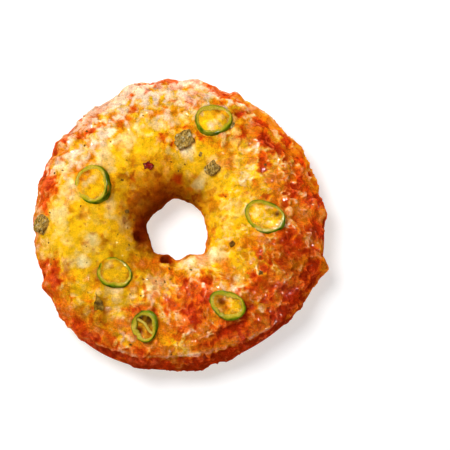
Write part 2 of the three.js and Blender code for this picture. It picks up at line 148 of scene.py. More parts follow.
# Neither outline is a true circle: [waves round the ring, height in mm, angle of a crest]
OUTLINE_WAVES = [[1, 1.0, 207], [2, 0.4, 94], [3, 0.9, 109], [4, 0.6, 62], [6, 0.25, 41]]
HOLE_WAVES = [[1, 2.4, 249], [2, 0.4, 100], [3, 0.5, 84], [5, 0.5, 27]]

# Lumps (+) and dents (-) of the rim: [angle, height in mm, half width in degrees]
RIM_LUMPS = [
    [4, 2.2, 2.8], [343, 2.7, 4.0], [352, -2.0, 4], [333, -1.2, 3], [319, 1.0, 4], [303, -1.2, 6],
    [290, 1.2, 2.8], [255, 1.1, 4], [247, -1.8, 2.8], [229, 0.9, 3], [206, 1.2, 3], [139, -1.2, 2.8],
    [119, -1.1, 2.8], [111, 1.7, 3], [84, 0.9, 3], [72, -1.2, 2.8], [67, 1.4, 2.6],
]
# How far up the section the lumps sit, and how far they spread, in radians
RIM_ARC = 0.1
RIM_SPREAD = 0.45
# The same on the wall of the hole, from top to bottom
HOLE_LUMPS = [
    [229, 0.9, 9], [251, -1.0, 6], [268, 1.0, 7], [289, -0.9, 8], [307, 1.2, 8], [178, 0.5, 14],
]
STEEPEST = 0.995  # a place further out than this share of the half width counts as on the wall


# %% The oval section, and places on it
def bell(distance, half_width):
    """1 at no distance, about a third at the half width and 0 far away."""
    return np.exp(-((distance / half_width) ** 2))


def smooth(low, high, value):
    """0 up to the low value and 1 from the high one on, with a soft way between."""
    t = np.clip((value - low) / (high - low), 0, 1)
    return t * t * (3 - 2 * t)


def turn_between(a, b):
    """The shorter turn from b to a, in degrees."""
    return (a - b + 540) % 360 - 180


def waves(rows, turn):
    return sum(height * np.cos(np.radians(count * (turn - crest))) for count, height, crest in rows)


def lumps(rows, turn):
    return sum(height * bell(turn_between(turn, at), width) for at, height, width in rows)


def section(turn):
    """How far the middle of the bread's section is from the ring's middle, and its half width."""
    outside = OUTER_RADIUS + waves(OUTLINE_WAVES, turn) - SIDE_THICKNESS
    inside = HOLE_RADIUS + waves(HOLE_WAVES, turn) + lumps(HOLE_LUMPS, turn) + SIDE_THICKNESS
    return (outside + inside) / 2, (outside - inside) / 2


def skin_point(turn, arc, lift=0.0):
    """The point at a turn and an arc, and so many mm off the bread."""
    middle, half_width = section(turn)
    rise = np.where(np.sin(arc) > 0, CROWN_RISE, BELLY_DROP)
    out, up = np.cos(arc) / half_width, np.sin(arc) / rise
    length = np.hypot(out, up)
    radius = middle + half_width * np.cos(arc) + lift * out / length
    height = EQUATOR + rise * np.sin(arc) + lift * up / length
    angle = np.radians(turn)
    return np.stack([radius * np.cos(angle), radius * np.sin(angle), height], axis=-1)


def arc_at(turn, distance):
    """The arc of the upper side at a distance from the ring's middle."""
    middle, half_width = section(turn)
    return math.acos(min(max((distance - middle) / half_width, -STEEPEST), STEEPEST))


print("crown at", skin_point(90.0, math.pi / 2, TOP_THICKNESS).round(1), "mm")

# %% [markdown]
# ## Unevenness
# Melted cheese is never even. Value noise gives lumps of a chosen size: a repeatable number sits on each
# corner of a lattice, and places between them get a smooth mix. It costs one formula and needs no random
# state, so the finer mesh here has its lumps in the same places as the plain solid.

# %% Lumps from a lattice
# Large odd numbers stir the bits, so that neighbouring corners of the lattice get unrelated values
STIRRERS = (374761393, 668265263, 1440662683, 1013904223)
LAST_STIRRER = 1274126177
ALL_BITS = 0xFFFFFFFF
# Each finer octave has half the grain, this share of the height, and a lattice of its own
OCTAVE_SHARE = 0.55
OCTAVE_SEED_STEP = 7


def lattice_value(ix, iy, iz, seed):
    h = sum(number * stirrer for number, stirrer in zip((ix, iy, iz, seed), STIRRERS)) & ALL_BITS
    h = ((h ^ (h >> 13)) * LAST_STIRRER) & ALL_BITS
    return (h ^ (h >> 16)) / ALL_BITS


def lump_noise(points, grain, seed):
    """Even lumps as wide as the grain, from -1 to 1."""
    place = np.asarray(points, dtype=float) / grain
    cell = np.floor(place).astype(np.int64)
    part = place - cell
    weight = part * part * (3 - 2 * part)
    total = 0
    for corner in np.ndindex(2, 2, 2):
        at = cell + corner
        share = np.prod(np.where(corner, weight, 1 - weight), axis=-1)
        total = total + share * lattice_value(at[..., 0], at[..., 1], at[..., 2], seed)
    return 2 * total - 1


def fine_noise(points, grain, seed, octaves=3):
    """Lumps with finer and lower lumps on them."""
    layers = [OCTAVE_SHARE ** k * lump_noise(points, grain * 0.5 ** k, seed + OCTAVE_SEED_STEP * k)
              for k in range(octaves)]
    return sum(layers)


# %% [markdown]
# ## The pieces that lie in the cheese
# Each chilli ring and pepper dice has a seat: a point on the cheese and three axes, the third along the
# normal. The cheese needs to know the seats before it is built, because it rises round every piece and
# fills the rings.

# %% Where the chilli rings and dice lie
# A piece has its angle round the ring and its distance from the middle, its size in mm and its own turn. A
# chilli ring also has its wall and height, how deep it is sunk, how far it leans and to which side, and how
# full of cheese it is. A rib across it has its turn, how far it lies beside the middle, and its length.
SLICES = [
    dict(angle=71.3, distance=43.6, long=15.6, wide=13.8, turn=18, wall=1.6,
         tall=3.8, sunk=2.1, lean=8, side=60, cheese=0.8),
    dict(angle=159.4, distance=38.8, long=16.4, wide=14.7, turn=105, wall=1.8,
         tall=5.2, sunk=3.2, lean=18, side=176, cheese=0.62),
    dict(angle=-0.2, distance=35.9, long=17.4, wide=12.8, turn=-28, wall=1.7,
         tall=3.6, sunk=2.0, lean=6, side=200, cheese=0.75, rib=dict(turn=93, beside=2.2, long=11.2)),
    dict(angle=221.7, distance=36.3, long=14.5, wide=12.3, turn=-25, wall=1.6,
         tall=3.2, sunk=2.0, lean=3, side=140, cheese=1.0),
    dict(angle=253.1, distance=47.8, long=13.0, wide=10.5, turn=85, wall=1.8,
         tall=4.2, sunk=2.4, lean=9, side=200, cheese=0.1, rib=dict(turn=47, beside=0.2, long=9.8)),
    dict(angle=298.1, distance=42.4, long=15.4, wide=11.1, turn=-25, wall=1.9,
         tall=3.6, sunk=2.0, lean=6, side=150, cheese=0.5),
]
# Each ring is a little lobed, like the pod: how strongly, how many lobes, and their turn from ring to ring
LOBE_DEPTH = 0.035
LOBES = 3
LOBE_TURN = 2.1
DICE = [
    dict(angle=86.6, distance=33.4, size=(7.0, 6.2, 3.8), turn=25, sunk=1.3),
    dict(angle=56.7, distance=25.6, size=(5.2, 4.6, 3.2), turn=40, sunk=1.2),
    dict(angle=181.9, distance=56.5, size=(6.8, 5.8, 3.2), turn=45, sunk=0.9),
]


def plain_thickness(arc):
    return SIDE_THICKNESS + (TOP_THICKNESS - SIDE_THICKNESS) * np.maximum(0, np.sin(arc))


def unit(vector):
    return vector / np.linalg.norm(vector)


def seat(angle, distance, spin, lean=0, side=0):
    """The seat's point and its axes: x along `spin`, y across, z away from the bread."""
    arc = arc_at(angle, distance)
    at = skin_point(angle, arc, plain_thickness(arc))
    up = unit(at - skin_point(angle, arc))
    side = math.radians(side)
    spin = math.radians(spin)
    up = unit(up + math.tan(math.radians(lean)) * np.array([math.cos(side), math.sin(side), 0]))
    across = unit(np.cross(up, [math.cos(spin), math.sin(spin), 0]))
    return at, np.array([np.cross(across, up), across, up])


def slice_radius(number, angle):
    """The outer radius of a chilli ring at an angle in radians round its own middle."""
    ring = SLICES[number]
    oval = np.hypot(2 * np.cos(angle) / ring["long"], 2 * np.sin(angle) / ring["wide"])
    return (1 + LOBE_DEPTH * np.cos(LOBES * angle + LOBE_TURN * number)) / oval


def slice_seat(number):
    ring = SLICES[number]
    return seat(ring["angle"], ring["distance"], ring["turn"], ring["lean"], ring["side"])


print(len(SLICES), "chilli rings and", len(DICE), "dice")

# %% [markdown]
# ## The large relief of the cheese
# The solid already has the lumps, the folds, the ledge on the near side and the two pits beside the hole.
# The same formulas come first here, and the fine relief is added to them later.

# %% Named forms in the cheese
# The ledge: where round the ring, half its stretch, how high up the section in degrees, the step in mm, then
# in radians how far its brow reaches up and how wide the step is, and where it fades out at its ends
LEDGE = dict(middle=274.5, half_span=50.5, top=34, step=1.4, brow=0.5, slope=0.07, ends=(0.85, 1.15))

# Folds: [angle, distance] of one end, the same of the other, depth and half width in mm
FOLDS = [
    [(289.5, 51.8), (303, 51), 1.7, 1.5],
    [(236, 47), (248, 42), 0.6, 1.4],
    [(20, 53), (46, 50), 0.8, 1.5],
    [(112, 50), (139, 54), 0.8, 1.6],
]
# A lip stands up beside a fold or a pit: how many of its widths it reaches, and how high it is
LIP_REACH = 2.2
FOLD_LIP = 0.5  # of the fold's depth
PIT_LIP = 0.8
LUMPS_WIDE, LUMPS_HIGH = 8.5, 1.1
SMALL_LUMPS_WIDE, SMALL_LUMPS_HIGH = 4.6, 0.7
# Creases part the wide lumps: noise folded at zero, how steep and how soft the crease is, and its mean
CREASE_STEEPNESS, CREASE_SOFTNESS, CREASE_MEAN = 2.2, 0.02, 0.9
LEAST_THICKNESS = 0.8
FAR_AWAY = 1e3  # mm, further than any two places on the doughnut

# Pools where the cheese melted smooth: [angle, distance, radius, share of lumps lost]
POOLS = [[186, 43, 17, 0.6], [212, 31, 11, 0.5], [128, 33, 13, 0.5], [2, 21, 9, 0.5]]
# The relief is also calmer on the wall of the hole and round the pieces: the share lost, and where
WALL_CALM = 0.6
WALL_ARCS = (2.1, 2.7)
PIECE_CALM = 0.85
PIECE_REACH = 8

# Dark pits beside the hole: [angle, distance, radius, depth]
PITS = [[203, 19.6, 2.8, 2.2], [251, 18.9, 2.6, 2.6]]

# Where the skin ends, in degrees of the section past the widest lines, and how far that wavers
OUTER_REACH, HOLE_REACH, EDGE_WAVER = 18, 14, 9
# Tongues that ran further: [angle, degrees further, half width]
OUTER_TONGUES = [[20, 7, 9], [75, 10, 7], [128, 6, 10], [170, 10, 6], [212, 7, 9], [262, 9, 8], [310, 8, 11]]
HOLE_TONGUES = [[35, 10, 17], [118, 15, 20], [215, 9, 18], [295, 12, 16]]
# The waver on a ring of radius 1: [grain, share]
EDGE_WAVES = [(0.45, 0.6), (0.2, 0.4)]


# %% Thickness of the skin
def spot(angle, distance):
    """A place on the crown side of the bread, by its angle and its distance from the ring's middle."""
    return skin_point(angle, arc_at(angle, distance))


def away_from(place, angle, distance):
    return np.linalg.norm(place - spot(angle, distance), axis=-1)


def away_from_stretch(place, start, end):
    a, b = (np.array([d * math.cos(math.radians(t)), d * math.sin(math.radians(t))]) for t, d in (start, end))
    share = np.clip(((place[:, :2] - a) @ (b - a)) / ((b - a) @ (b - a)), 0, 1)
    return np.linalg.norm(place[:, :2] - a - share[:, None] * (b - a), axis=1)


def away_from_fold(place, arc, start, end):
    """Away from the line of a fold. The line lies on the upper side, so the lower side is far from it."""
    return np.where(arc > 0, away_from_stretch(place, start, end), FAR_AWAY)


def ledge_place(turn, arc):
    """How far above the ledge's edge a place is, in radians, and how much ledge there is at that turn."""
    along = np.abs(turn_between(turn, LEDGE["middle"])) / LEDGE["half_span"]
    edge = np.radians(LEDGE["top"] * np.sqrt(np.maximum(0, 1 - along ** 2)))
    strength = (0.5 + 0.5 * along) * (1 - smooth(*LEDGE["ends"], along))  # half as strong in its middle
    return arc - edge, strength


def large_relief(place, turn, arc):
    noise = lump_noise(place, LUMPS_WIDE, seed=1)
    creased = CREASE_STEEPNESS * np.sqrt(noise ** 2 + CREASE_SOFTNESS) - CREASE_MEAN
    relief = LUMPS_HIGH * creased + SMALL_LUMPS_HIGH * lump_noise(place, SMALL_LUMPS_WIDE, seed=2)
    for start, end, depth, width in FOLDS:
        away = away_from_fold(place, arc, start, end)
        relief += FOLD_LIP * depth * bell(away, LIP_REACH * width)
        relief -= (1 + FOLD_LIP) * depth * bell(away, width)
    for angle, distance, radius, share in POOLS:
        relief *= 1 - share * bell(away_from(place, angle, distance), radius)
    for piece in SLICES + DICE:
        relief *= 1 - PIECE_CALM * bell(away_from(place, piece["angle"], piece["distance"]), PIECE_REACH)
    relief *= 1 - WALL_CALM * smooth(*WALL_ARCS, arc)
    relief += lumps(RIM_LUMPS, turn) * bell(arc - RIM_ARC, RIM_SPREAD)
    above, strength = ledge_place(turn, arc)
    step = smooth(-LEDGE["slope"], LEDGE["slope"], above)
    brow = step * bell(np.maximum(0, above), LEDGE["brow"])
    relief += LEDGE["step"] / 2 * strength * (brow - (1 - step))
    for angle, distance, radius, depth in PITS:
        away = away_from(place, angle, distance)
        relief += PIT_LIP * bell(away, LIP_REACH * radius) - (depth + PIT_LIP) * bell(away, radius) ** 2
    return relief


def on_unit_ring(turn):
    angle = np.radians(turn)
    return np.stack([np.cos(angle), np.sin(angle), 0 * angle], axis=-1)


def edge_wave(turn, seed):
    layers = [share * lump_noise(on_unit_ring(turn), grain, seed + k)
              for k, (grain, share) in enumerate(EDGE_WAVES)]
    return sum(layers)


def outer_edge(turn):
    return -np.radians(OUTER_REACH + EDGE_WAVER * edge_wave(turn, seed=31) + lumps(OUTER_TONGUES, turn))


def hole_edge(turn):
    waver = EDGE_WAVER * edge_wave(turn, seed=41)
    return math.pi + np.radians(HOLE_REACH + waver + lumps(HOLE_TONGUES, turn))


# %% [markdown]
# ## A mesh in rows
# A grid with the same number of points in every row would have its points crowded in the hole and far apart
# at the rim. So each row round the ring gets as many points as its own length needs, and neighbouring rows
# are joined by a zip: it always steps on along the row that lags behind. That keeps the triangles even.


# %% Rows, zips and pieces
def zipped_rows(counts):
    """Triangles that join each row of points to the next one, and the last to the first."""
    starts = np.concatenate([[0], np.cumsum(counts)])
    faces = []
    for row, count in enumerate(counts):
        after = (row + 1) % len(counts)
        here, there, next_count = starts[row], starts[after], counts[after]
        i = k = 0
        while i < count or k < next_count:
            a, b = here + i % count, there + k % next_count
            if (i + 1) * next_count <= (k + 1) * count:
                i += 1
                faces.append((a, here + i % count, b))
            else:
                k += 1
                faces.append((a, there + k % next_count, b))
    return faces


def row_places(counts):
    """The row number and the turn in degrees of every point."""
    rows = np.repeat(np.arange(len(counts)), counts)
    turns = np.concatenate([np.arange(count) * (360 / count) for count in counts])
    return rows, turns


def make_piece(name, points, faces, material, fields=None, replaces=()):
    """A piece of the doughnut from points in mm. Fields are numbers painted on its points."""
    mesh = bpy.data.meshes.new(name)
    mesh.from_pydata((np.asarray(points) / MM_PER_METRE).tolist(), [], faces)
    for field, values in (fields or {}).items():
        painted = mesh.attributes.new(field, "FLOAT", "POINT")
        painted.data.foreach_set("value", np.asarray(values, dtype=np.float32))
    mesh.shade_smooth()
    mesh.materials.append(material)
    piece = bpy.data.objects.new(name, mesh)
    bpy.context.collection.objects.link(piece)
    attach(piece, "root")
    if replaces:
        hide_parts(*replaces)
    print(name, len(mesh.vertices), "points", len(mesh.polygons), "faces")
    return piece


# %% [markdown]
# ## The fine mesh of the cheese
# The outer face has a point every 0.44 mm, which is about one pixel of the photograph. Its inner face lies
# on the bread and never shows, so it is coarse. Both are rows of one closed ring.

# %% Points of the outer and the inner face
SPACING = 0.44
LINING_FACETS = 120
LINING_ROWS = 15
TRACE_STEPS = 2000  # short enough to measure the section's length along them

traced_arcs = np.linspace(-math.radians(OUTER_REACH), math.pi + math.radians(HOLE_REACH), TRACE_STEPS)
step_lengths = np.linalg.norm(np.diff(skin_point(0.0, traced_arcs), axis=0), axis=1)
lengths = np.concatenate([[0], np.cumsum(step_lengths)])
outer_rows = int(lengths[-1] / SPACING)
mean_arcs = np.interp(np.linspace(0, lengths[-1], outer_rows), lengths, traced_arcs)
row_shares = (mean_arcs - mean_arcs[0]) / (mean_arcs[-1] - mean_arcs[0])
outer_counts = [int(2 * math.pi * np.hypot(*skin_point(0.0, arc)[:2]) / SPACING) for arc in mean_arcs]
skin_rows, skin_turn = row_places(outer_counts)
skin_arc = outer_edge(skin_turn) + (hole_edge(skin_turn) - outer_edge(skin_turn)) * row_shares[skin_rows]
skin_place = skin_point(skin_turn, skin_arc)
print(outer_rows, "rows,", len(skin_turn), "points; the section is", round(lengths[-1], 1), "mm long")

# %% [markdown]
# ## Where each ingredient lies
# On the real doughnut the sauce goes on first, then two grated cheeses: yellow cheddar and pale mozzarella.
# In the oven some of it melts to smooth pools and some keeps its strands. Each list below says where there
# is more of one thing: the angle round the ring, the distance from its middle and how far it reaches, in
# mm, then how strong it is. Between those places the ring has an even mix, so the lists stay short.

# %% The lists
# Crags and curds: the cheese broke into ridges and crumbs of these sizes in mm
RIDGE_SIZE = 3.4
CURD_SIZES = (2.8, 1.5)
NETTED_TURN = 330  # the ridges are strongest on this side
WARP = 1.1  # mm by which every border is pushed about

CHEDDAR_POOLS = [
    (186, 44, 15, 1.0), (196, 33, 11, 0.9), (212, 44, 12, 0.9), (230, 44, 10, 0.6), (205, 28, 9, 0.8),
    (138, 35, 7, 0.9), (114, 37, 7, 1.0), (66, 24, 8, 0.8), (28, 27, 9, 0.9), (5, 17, 8, 0.9),
    (342, 22, 8, 1.0), (322, 30, 8, 1.0), (320, 37, 6, 0.9), (268, 52, 6, 0.7), (332, 43, 6, 0.3),
    (86, 26, 8, 0.7), (170, 32, 8, 0.7), (250, 26, 5, 0.6), (275, 21, 5, 0.6), (300, 24, 6, 0.6),
    (0, 24, 10, 0.8), (330, 20, 8, 0.8),
]
MOZZARELLA = [
    (85, 29.5, 3.2, 1.0), (62, 18, 3.0, 1.0), (61, 22, 2.6, 0.7), (184, 23, 3.5, 0.7), (195, 38, 4, 0.9),
    (206, 44, 3, 0.9), (168.5, 29.7, 3.2, 0.8), (246, 55, 4.5, 0.9), (313, 51, 3.5, 0.9),
    (314, 23, 4.5, 1.0), (130, 48, 4, 1.0), (152, 50, 6, 0.9), (134, 46, 4, 0.9), (147, 49, 5, 0.9),
    (101, 40, 4, 0.8), (96, 43, 4, 0.6), (80, 45, 4, 0.8), (33, 31, 4, 0.6), (119, 58, 9, 0.45),
    (103, 55, 9, 0.45), (86, 56, 9, 0.4), (250, 34, 6, 0.7), (255, 30, 4, 0.6), (311, 37, 4, 0.8),
    (3, 26, 4, 0.5), (58, 28, 4, 0.6), (44, 37, 5, 0.4), (125, 40, 5, 0.6), (140, 43, 5, 0.6),
    (112, 43, 4, 0.5), (178, 50, 4, 0.5), (164, 47.8, 3.5, 0.8), (202, 50, 4, 0.4), (98, 50, 6, 0.5),
    (118, 50, 5, 0.5), (256, 27, 4, 0.5), (285, 22, 5, 0.6), (300, 19, 5, 0.4), (342, 22, 5, 0.4),
    (18, 22, 6, 0.4), (75, 51, 5, 0.6), (84, 57, 6, 0.6), (66, 55, 4, 0.4), (266, 41, 4, 0.5),
    (228, 42, 4, 0.5), (236, 47, 3, 0.5), (140, 38, 5, 0.5), (170, 46, 5, 0.5), (300, 37, 4, 0.4),
    (336, 40, 4, 0.4), (292, 20, 4, 0.7), (280, 20, 3.5, 0.7), (305, 21, 4, 0.8),
]
BARE_SAUCE = [
    (93, 60, 2.6, 1.0), (150, 61, 4, 0.8), (153, 56, 3, 0.7), (165, 57, 6, 0.6), (161, 60, 5, 0.6),
    (199, 60, 4, 0.6), (206, 59, 5, 0.5), (84, 50, 2.6, 0.7), (80, 49, 2, 0.5), (52, 52, 2.6, 0.9),
    (44, 48, 2.8, 0.9), (36, 50, 3, 0.6), (16, 54, 3.5, 1.0), (8, 56, 4, 0.9), (15, 48, 3, 0.6),
    (288, 36, 3.5, 0.7), (280, 39, 4, 0.7), (273, 42, 4.5, 0.7), (268, 47, 3.5, 0.6), (276, 46, 4, 0.5),
    (293, 31, 3, 0.6), (225, 60, 3, 0.7), (230, 61, 4, 0.7), (168, 53, 5, 0.4), (175, 58, 4, 0.4),
    (202, 56, 5, 0.5), (209, 53, 4, 0.4), (219, 60, 4, 0.6), (238, 56, 4, 0.4), (113, 33, 2.0, 0.6),
    (191, 18, 4.5, 1.0), (168.2, 35.4, 1.4, 1.0), (103, 35.1, 3.0, 0.8), (93, 19, 3.0, 0.7),
    (142, 28.8, 3, 0.4), (128, 63, 4, 0.5), (140, 62, 3, 0.6), (350, 44, 4, 0.6), (345, 55, 5, 0.7),
    (335, 58, 5, 0.6), (357, 57, 5, 0.7), (28, 56, 5, 0.4), (62, 57, 5, 0.3), (318, 42, 4, 0.6),
    (300, 60, 6, 0.8), (285, 61, 7, 0.8), (312, 60, 6, 0.8), (270, 62, 7, 0.8), (255, 62, 6, 0.8),
    (313, 54, 3, 0.7), (292, 52, 3.5, 0.7), (283, 54, 3, 0.6), (262, 57, 3, 0.5), (242, 62, 6, 0.7),
    (275, 27, 3, 0.4), (284, 29, 3, 0.5), (278, 33, 4, 0.5), (264, 38, 3, 0.4), (348, 50, 3, 0.6),
    (325, 57, 5, 0.6), (315, 40, 6, 0.35), (318, 57, 6, 0.4), (335, 40, 4, 0.35), (294.6, 45.5, 1.8, 0.8),
    (301.8, 48, 1.8, 0.8), (307.1, 53.2, 2.0, 0.8), (290, 51.4, 1.8, 0.7), (297.6, 56.4, 2.0, 0.8),
    (306.5, 58.1, 2.0, 0.7), (308, 35, 2.5, 0.5), (338, 47, 3, 0.6), (73, 57, 4, 0.6),
    (251, 18.9, 2.6, 1.0), (325, 50, 3, 0.5),
]
# Browned places. On the wall of the hole and in the pits beside it the brown is partly painted shade
TOASTED_AND_SHADED_PLACES = [
    (199, 17, 4.5, 0.9), (191, 18, 4.2, 1.0), (204, 20, 3.5, 0.8), (229.5, 50.5, 4, 1.0),
    (229, 53.5, 5, 0.8), (345, 46, 6, 0.4), (343, 53, 6, 0.4), (336, 49, 5, 0.4), (327, 60, 7, 0.4),
    (307, 60, 9, 0.4), (290, 61, 10, 0.5), (270, 62, 9, 0.5), (254, 62, 8, 0.5), (146, 37, 4, 0.4),
    (156, 13, 8, 0.75), (130, 13, 8, 0.65), (105, 14, 8, 0.65), (80, 14, 7, 0.5), (180, 13, 6, 0.8),
    (60, 14, 6, 0.4), (308, 46, 3, 0.6), (203, 19.6, 3, 0.9), (251, 18.9, 2.8, 1.0), (299, 49, 3, 0.5),
    (210, 14, 6, 0.5), (225, 15, 5, 0.4), (168.2, 35.4, 1.3, 0.8), (322, 45, 4, 0.4), (312, 46, 4, 0.3),
    (298, 46.6, 1.8, 0.5), (304.5, 50.5, 1.8, 0.5), (338, 52, 4, 0.3), (325, 54, 4, 0.3),
    (330, 38, 3, 0.3), (232, 33, 4, 0.3), (222, 42, 4, 0.25), (236, 40, 4, 0.35), (165, 36, 4, 0.2),
    (158, 40, 4, 0.2), (142, 28.8, 3.5, 0.4), (132, 31.4, 2, 0.4),
]
# Freckles of brown fat in the pools: their size in mm, and between which values of the noise they show
FRECKLE_SIZE = 2.0
FRECKLE_RANGE = (0.42, 0.62)
# Smooth melted places keep few strands; on raw ones each strand shows
MELTED_SMOOTH = [
    (186, 42, 19, 1.0), (212, 33, 14, 0.9), (128, 33, 10, 0.7), (2, 20, 10, 0.7), (120, 20, 12, 1.0),
    (60, 20, 12, 0.9), (170, 22, 12, 1.0), (270, 62, 12, 0.3), (300, 62, 12, 0.2), (240, 62, 10, 0.3),
    (320, 28, 9, 0.6),
]


# %% Fields of each ingredient
REACH_WAVER = 0.35  # how unevenly a patch spreads, as a share of its reach


def spread(rows, sharpness=2):
    """1 where an ingredient's places overlap fully, 0 far from all of them."""
    left = np.ones(len(skin_place))
    for angle, distance, reach, strength in rows:
        away = away_from(skin_place, angle, distance) * (1 + REACH_WAVER * place_waver)
        left *= 1 - strength * np.exp(-((away / reach) ** sharpness))
    return 1 - left


def facing(angle, half_width):
    """1 on the side of the ring at this angle, fading out over the half width in degrees."""
    return bell(turn_between(skin_turn, angle), half_width)


def up_section(low, high):
    """0 up to the lower angle of the section and 1 from the higher one on. The crown is at 90 degrees."""
    return smooth(low, high, np.degrees(skin_arc))


place_waver = fine_noise(skin_place, grain=5.0, seed=60)
warp = np.stack([fine_noise(skin_place, grain=2.6, seed=61 + axis, octaves=2) for axis in range(3)], axis=1)
warped_place = skin_place + WARP * warp
outside = 1 - up_section(15, 55)
in_hole = up_section(125, 165)
inner_wall = up_section(100, 145)
near_side = facing(300, 70)
far_side = facing(120, 60)
cheddar = spread(CHEDDAR_POOLS)
mozzarella = spread(MOZZARELLA, sharpness=3)
sauce = spread(BARE_SAUCE, sharpness=3)
toast = spread(TOASTED_AND_SHADED_PLACES, sharpness=3)
smoothness = np.clip(spread(MELTED_SMOOTH) + 0.5 * in_hole, 0, 1)
rawness = 1 - smoothness
print("shares:", {name: round(float(field.mean()), 2) for name, field in
                  dict(cheddar=cheddar, mozzarella=mozzarella, sauce=sauce, toast=toast).items()})

# %% [markdown]
# ## Grated cheese
# A strand of grated cheese is 1 to 2 mm thick, and 3 to 8 mm of it shows. It could be a curve with a bevel,
# but on this doughnut it has half melted into its neighbours. So each strand is a path over the skin, and
# every point of the mesh nearer than its half width is lifted: to a round ridge where it is raw, to a soft
# swell in a pool.

# %% Lay the strands
STRAND_SEED = 11
STRAND_COUNT = 700
STRAND_LENGTH = (3, 8)
STRAND_HALF_WIDTH = (0.55, 0.95)
STRAND_REACH = 2.5  # half widths, past which a strand no longer shows
STRAND_WANDER = 0.4  # radians by which the heading changes at a step
START_MARGIN = 0.1  # radians past the widest lines where a strand may still start
# How pale a strand of cheddar and one of mozzarella is, the share of each, and how far it varies
STRAND_PALENESS, STRAND_SHARES, PALENESS_RANGE = [0.1, 0.9], [0.45, 0.55], 0.1
# A melted strand is a soft swell: its height and its width, as shares of a raw one's
SWELL_HEIGHT, SWELL_WIDTH = 0.6, 1.5
STRAND_SHARPNESS = 3  # the more, the less a strand's faint edge colours what lies under it
LEAST_WEIGHT = 1e-3  # keeps a place without a strand from dividing by nothing
PATH_STEP = 1.4
MEAN_RADIUS = (OUTER_RADIUS + HOLE_RADIUS) / 2
SECTION_HALF_WIDTH = 23.5
SECTION_SCALE = 18.5  # mm of the section for one radian of its arc, on average


def strand_path(rng):
    """Places of one strand: it starts anywhere on the skin and wanders a little as it goes."""
    arc = rng.uniform(-START_MARGIN, math.pi + START_MARGIN)
    turn = rng.uniform(0, 360)
    heading = rng.uniform(0, 2 * math.pi)
    steps = int(rng.uniform(*STRAND_LENGTH) / PATH_STEP) + 1
    path = []
    for _ in range(steps):
        path.append((turn, arc))
        radius = max(MEAN_RADIUS + SECTION_HALF_WIDTH * math.cos(arc), HOLE_RADIUS)
        turn += math.degrees(PATH_STEP * math.cos(heading) / radius)
        arc += PATH_STEP * math.sin(heading) / SECTION_SCALE
        heading += rng.normal(0, STRAND_WANDER)
    return np.array(path)


def away_from_path(points, path):
    best = np.full(len(points), FAR_AWAY)
    for a, b in zip(path[:-1], path[1:]):
        share = np.clip((points - a) @ (b - a) / ((b - a) @ (b - a)), 0, 1)
        best = np.minimum(best, np.linalg.norm(points - a - share[:, None] * (b - a), axis=1))
    return best


def lay_strands(count):
    """How strongly a strand shows at each point, and how pale the strands there are (1 is mozzarella)."""
    rng = np.random.default_rng(STRAND_SEED)
    form = np.zeros(len(skin_place))
    pale_sum = np.zeros(len(skin_place))
    weight_sum = np.zeros(len(skin_place))
    for _ in range(count):
        places = strand_path(rng)
        half = rng.uniform(*STRAND_HALF_WIDTH)
        paleness = rng.choice(STRAND_PALENESS, p=STRAND_SHARES) + rng.uniform(-PALENESS_RANGE, PALENESS_RANGE)
        path = skin_point(places[:, 0], places[:, 1]) + WARP * warp.mean(axis=0)
        middle = path.mean(axis=0)
        reach = np.abs(path - middle).max() + STRAND_REACH * half
        near = np.flatnonzero((np.abs(skin_place - middle) < reach).all(axis=1))
        away = away_from_path(warped_place[near], path) / half
        raw = np.sqrt(np.clip(1 - away ** 2, 0, 1))
        melted = SWELL_HEIGHT * bell(away, SWELL_WIDTH)
        shown = raw + (melted - raw) * smoothness[near]
        form[near] = np.maximum(form[near], shown)
        weight = shown ** STRAND_SHARPNESS
        pale_sum[near] += paleness * weight
        weight_sum[near] += weight
    return form, pale_sum / np.maximum(weight_sum, LEAST_WEIGHT)


strand_form, strand_pale = lay_strands(STRAND_COUNT)
print(STRAND_COUNT, "strands cover", round(float((strand_form > 0.3).mean()), 2), "of the skin")

# %% [markdown]
# ## Crags and curds
# Where the cheese didn't run smooth it set in thin curved ridges with curds between them, and each curd
# kept the colour of the cheese it came from. Ridges are the places where a noise crosses zero. Curds are
# the cells round scattered points: near its middle a curd is high, and the seams between curds are low.


# %% Ridges and curds
RIDGE_THINNESS = 2.6
CURD_ROUNDNESS = 0.95  # how far from its middle a curd still stands up, in its own size
NETTED_RANGE = (-0.3, 0.7)


def ridges_of(size, seed):
    return np.clip(1 - RIDGE_THINNESS * np.abs(lump_noise(warped_place, size, seed)), 0, 1)


def curds(points, size, seed):
    """How near each point is to the middle of its curd, 0 to 1, and a number from 0 to 1 for the curd."""
    place = points / size
    cell = np.floor(place).astype(np.int64)
    nearest = np.full(len(points), FAR_AWAY)
    kind = np.zeros(len(points))
    for offset in np.ndindex(3, 3, 3):
        at = (cell + offset - 1).T
        middle = at.T + np.stack([lattice_value(*at, seed + axis) for axis in range(3)], axis=1)
        away = np.linalg.norm(place - middle, axis=1)
        closer = away < nearest
        nearest = np.where(closer, away, nearest)
        kind = np.where(closer, lattice_value(*at, seed + 3), kind)
    return np.sqrt(np.clip(1 - (nearest / CURD_ROUNDNESS) ** 2, 0, 1)), kind


ridges = ridges_of(RIDGE_SIZE, seed=70)
small_ridges = ridges_of(RIDGE_SIZE / 2, seed=71)
curd, curd_kind = curds(warped_place, CURD_SIZES[0], seed=72)
small_curd, small_kind = curds(warped_place, CURD_SIZES[1], seed=76)
netted = smooth(*NETTED_RANGE, np.cos(np.radians(skin_turn - NETTED_TURN)))
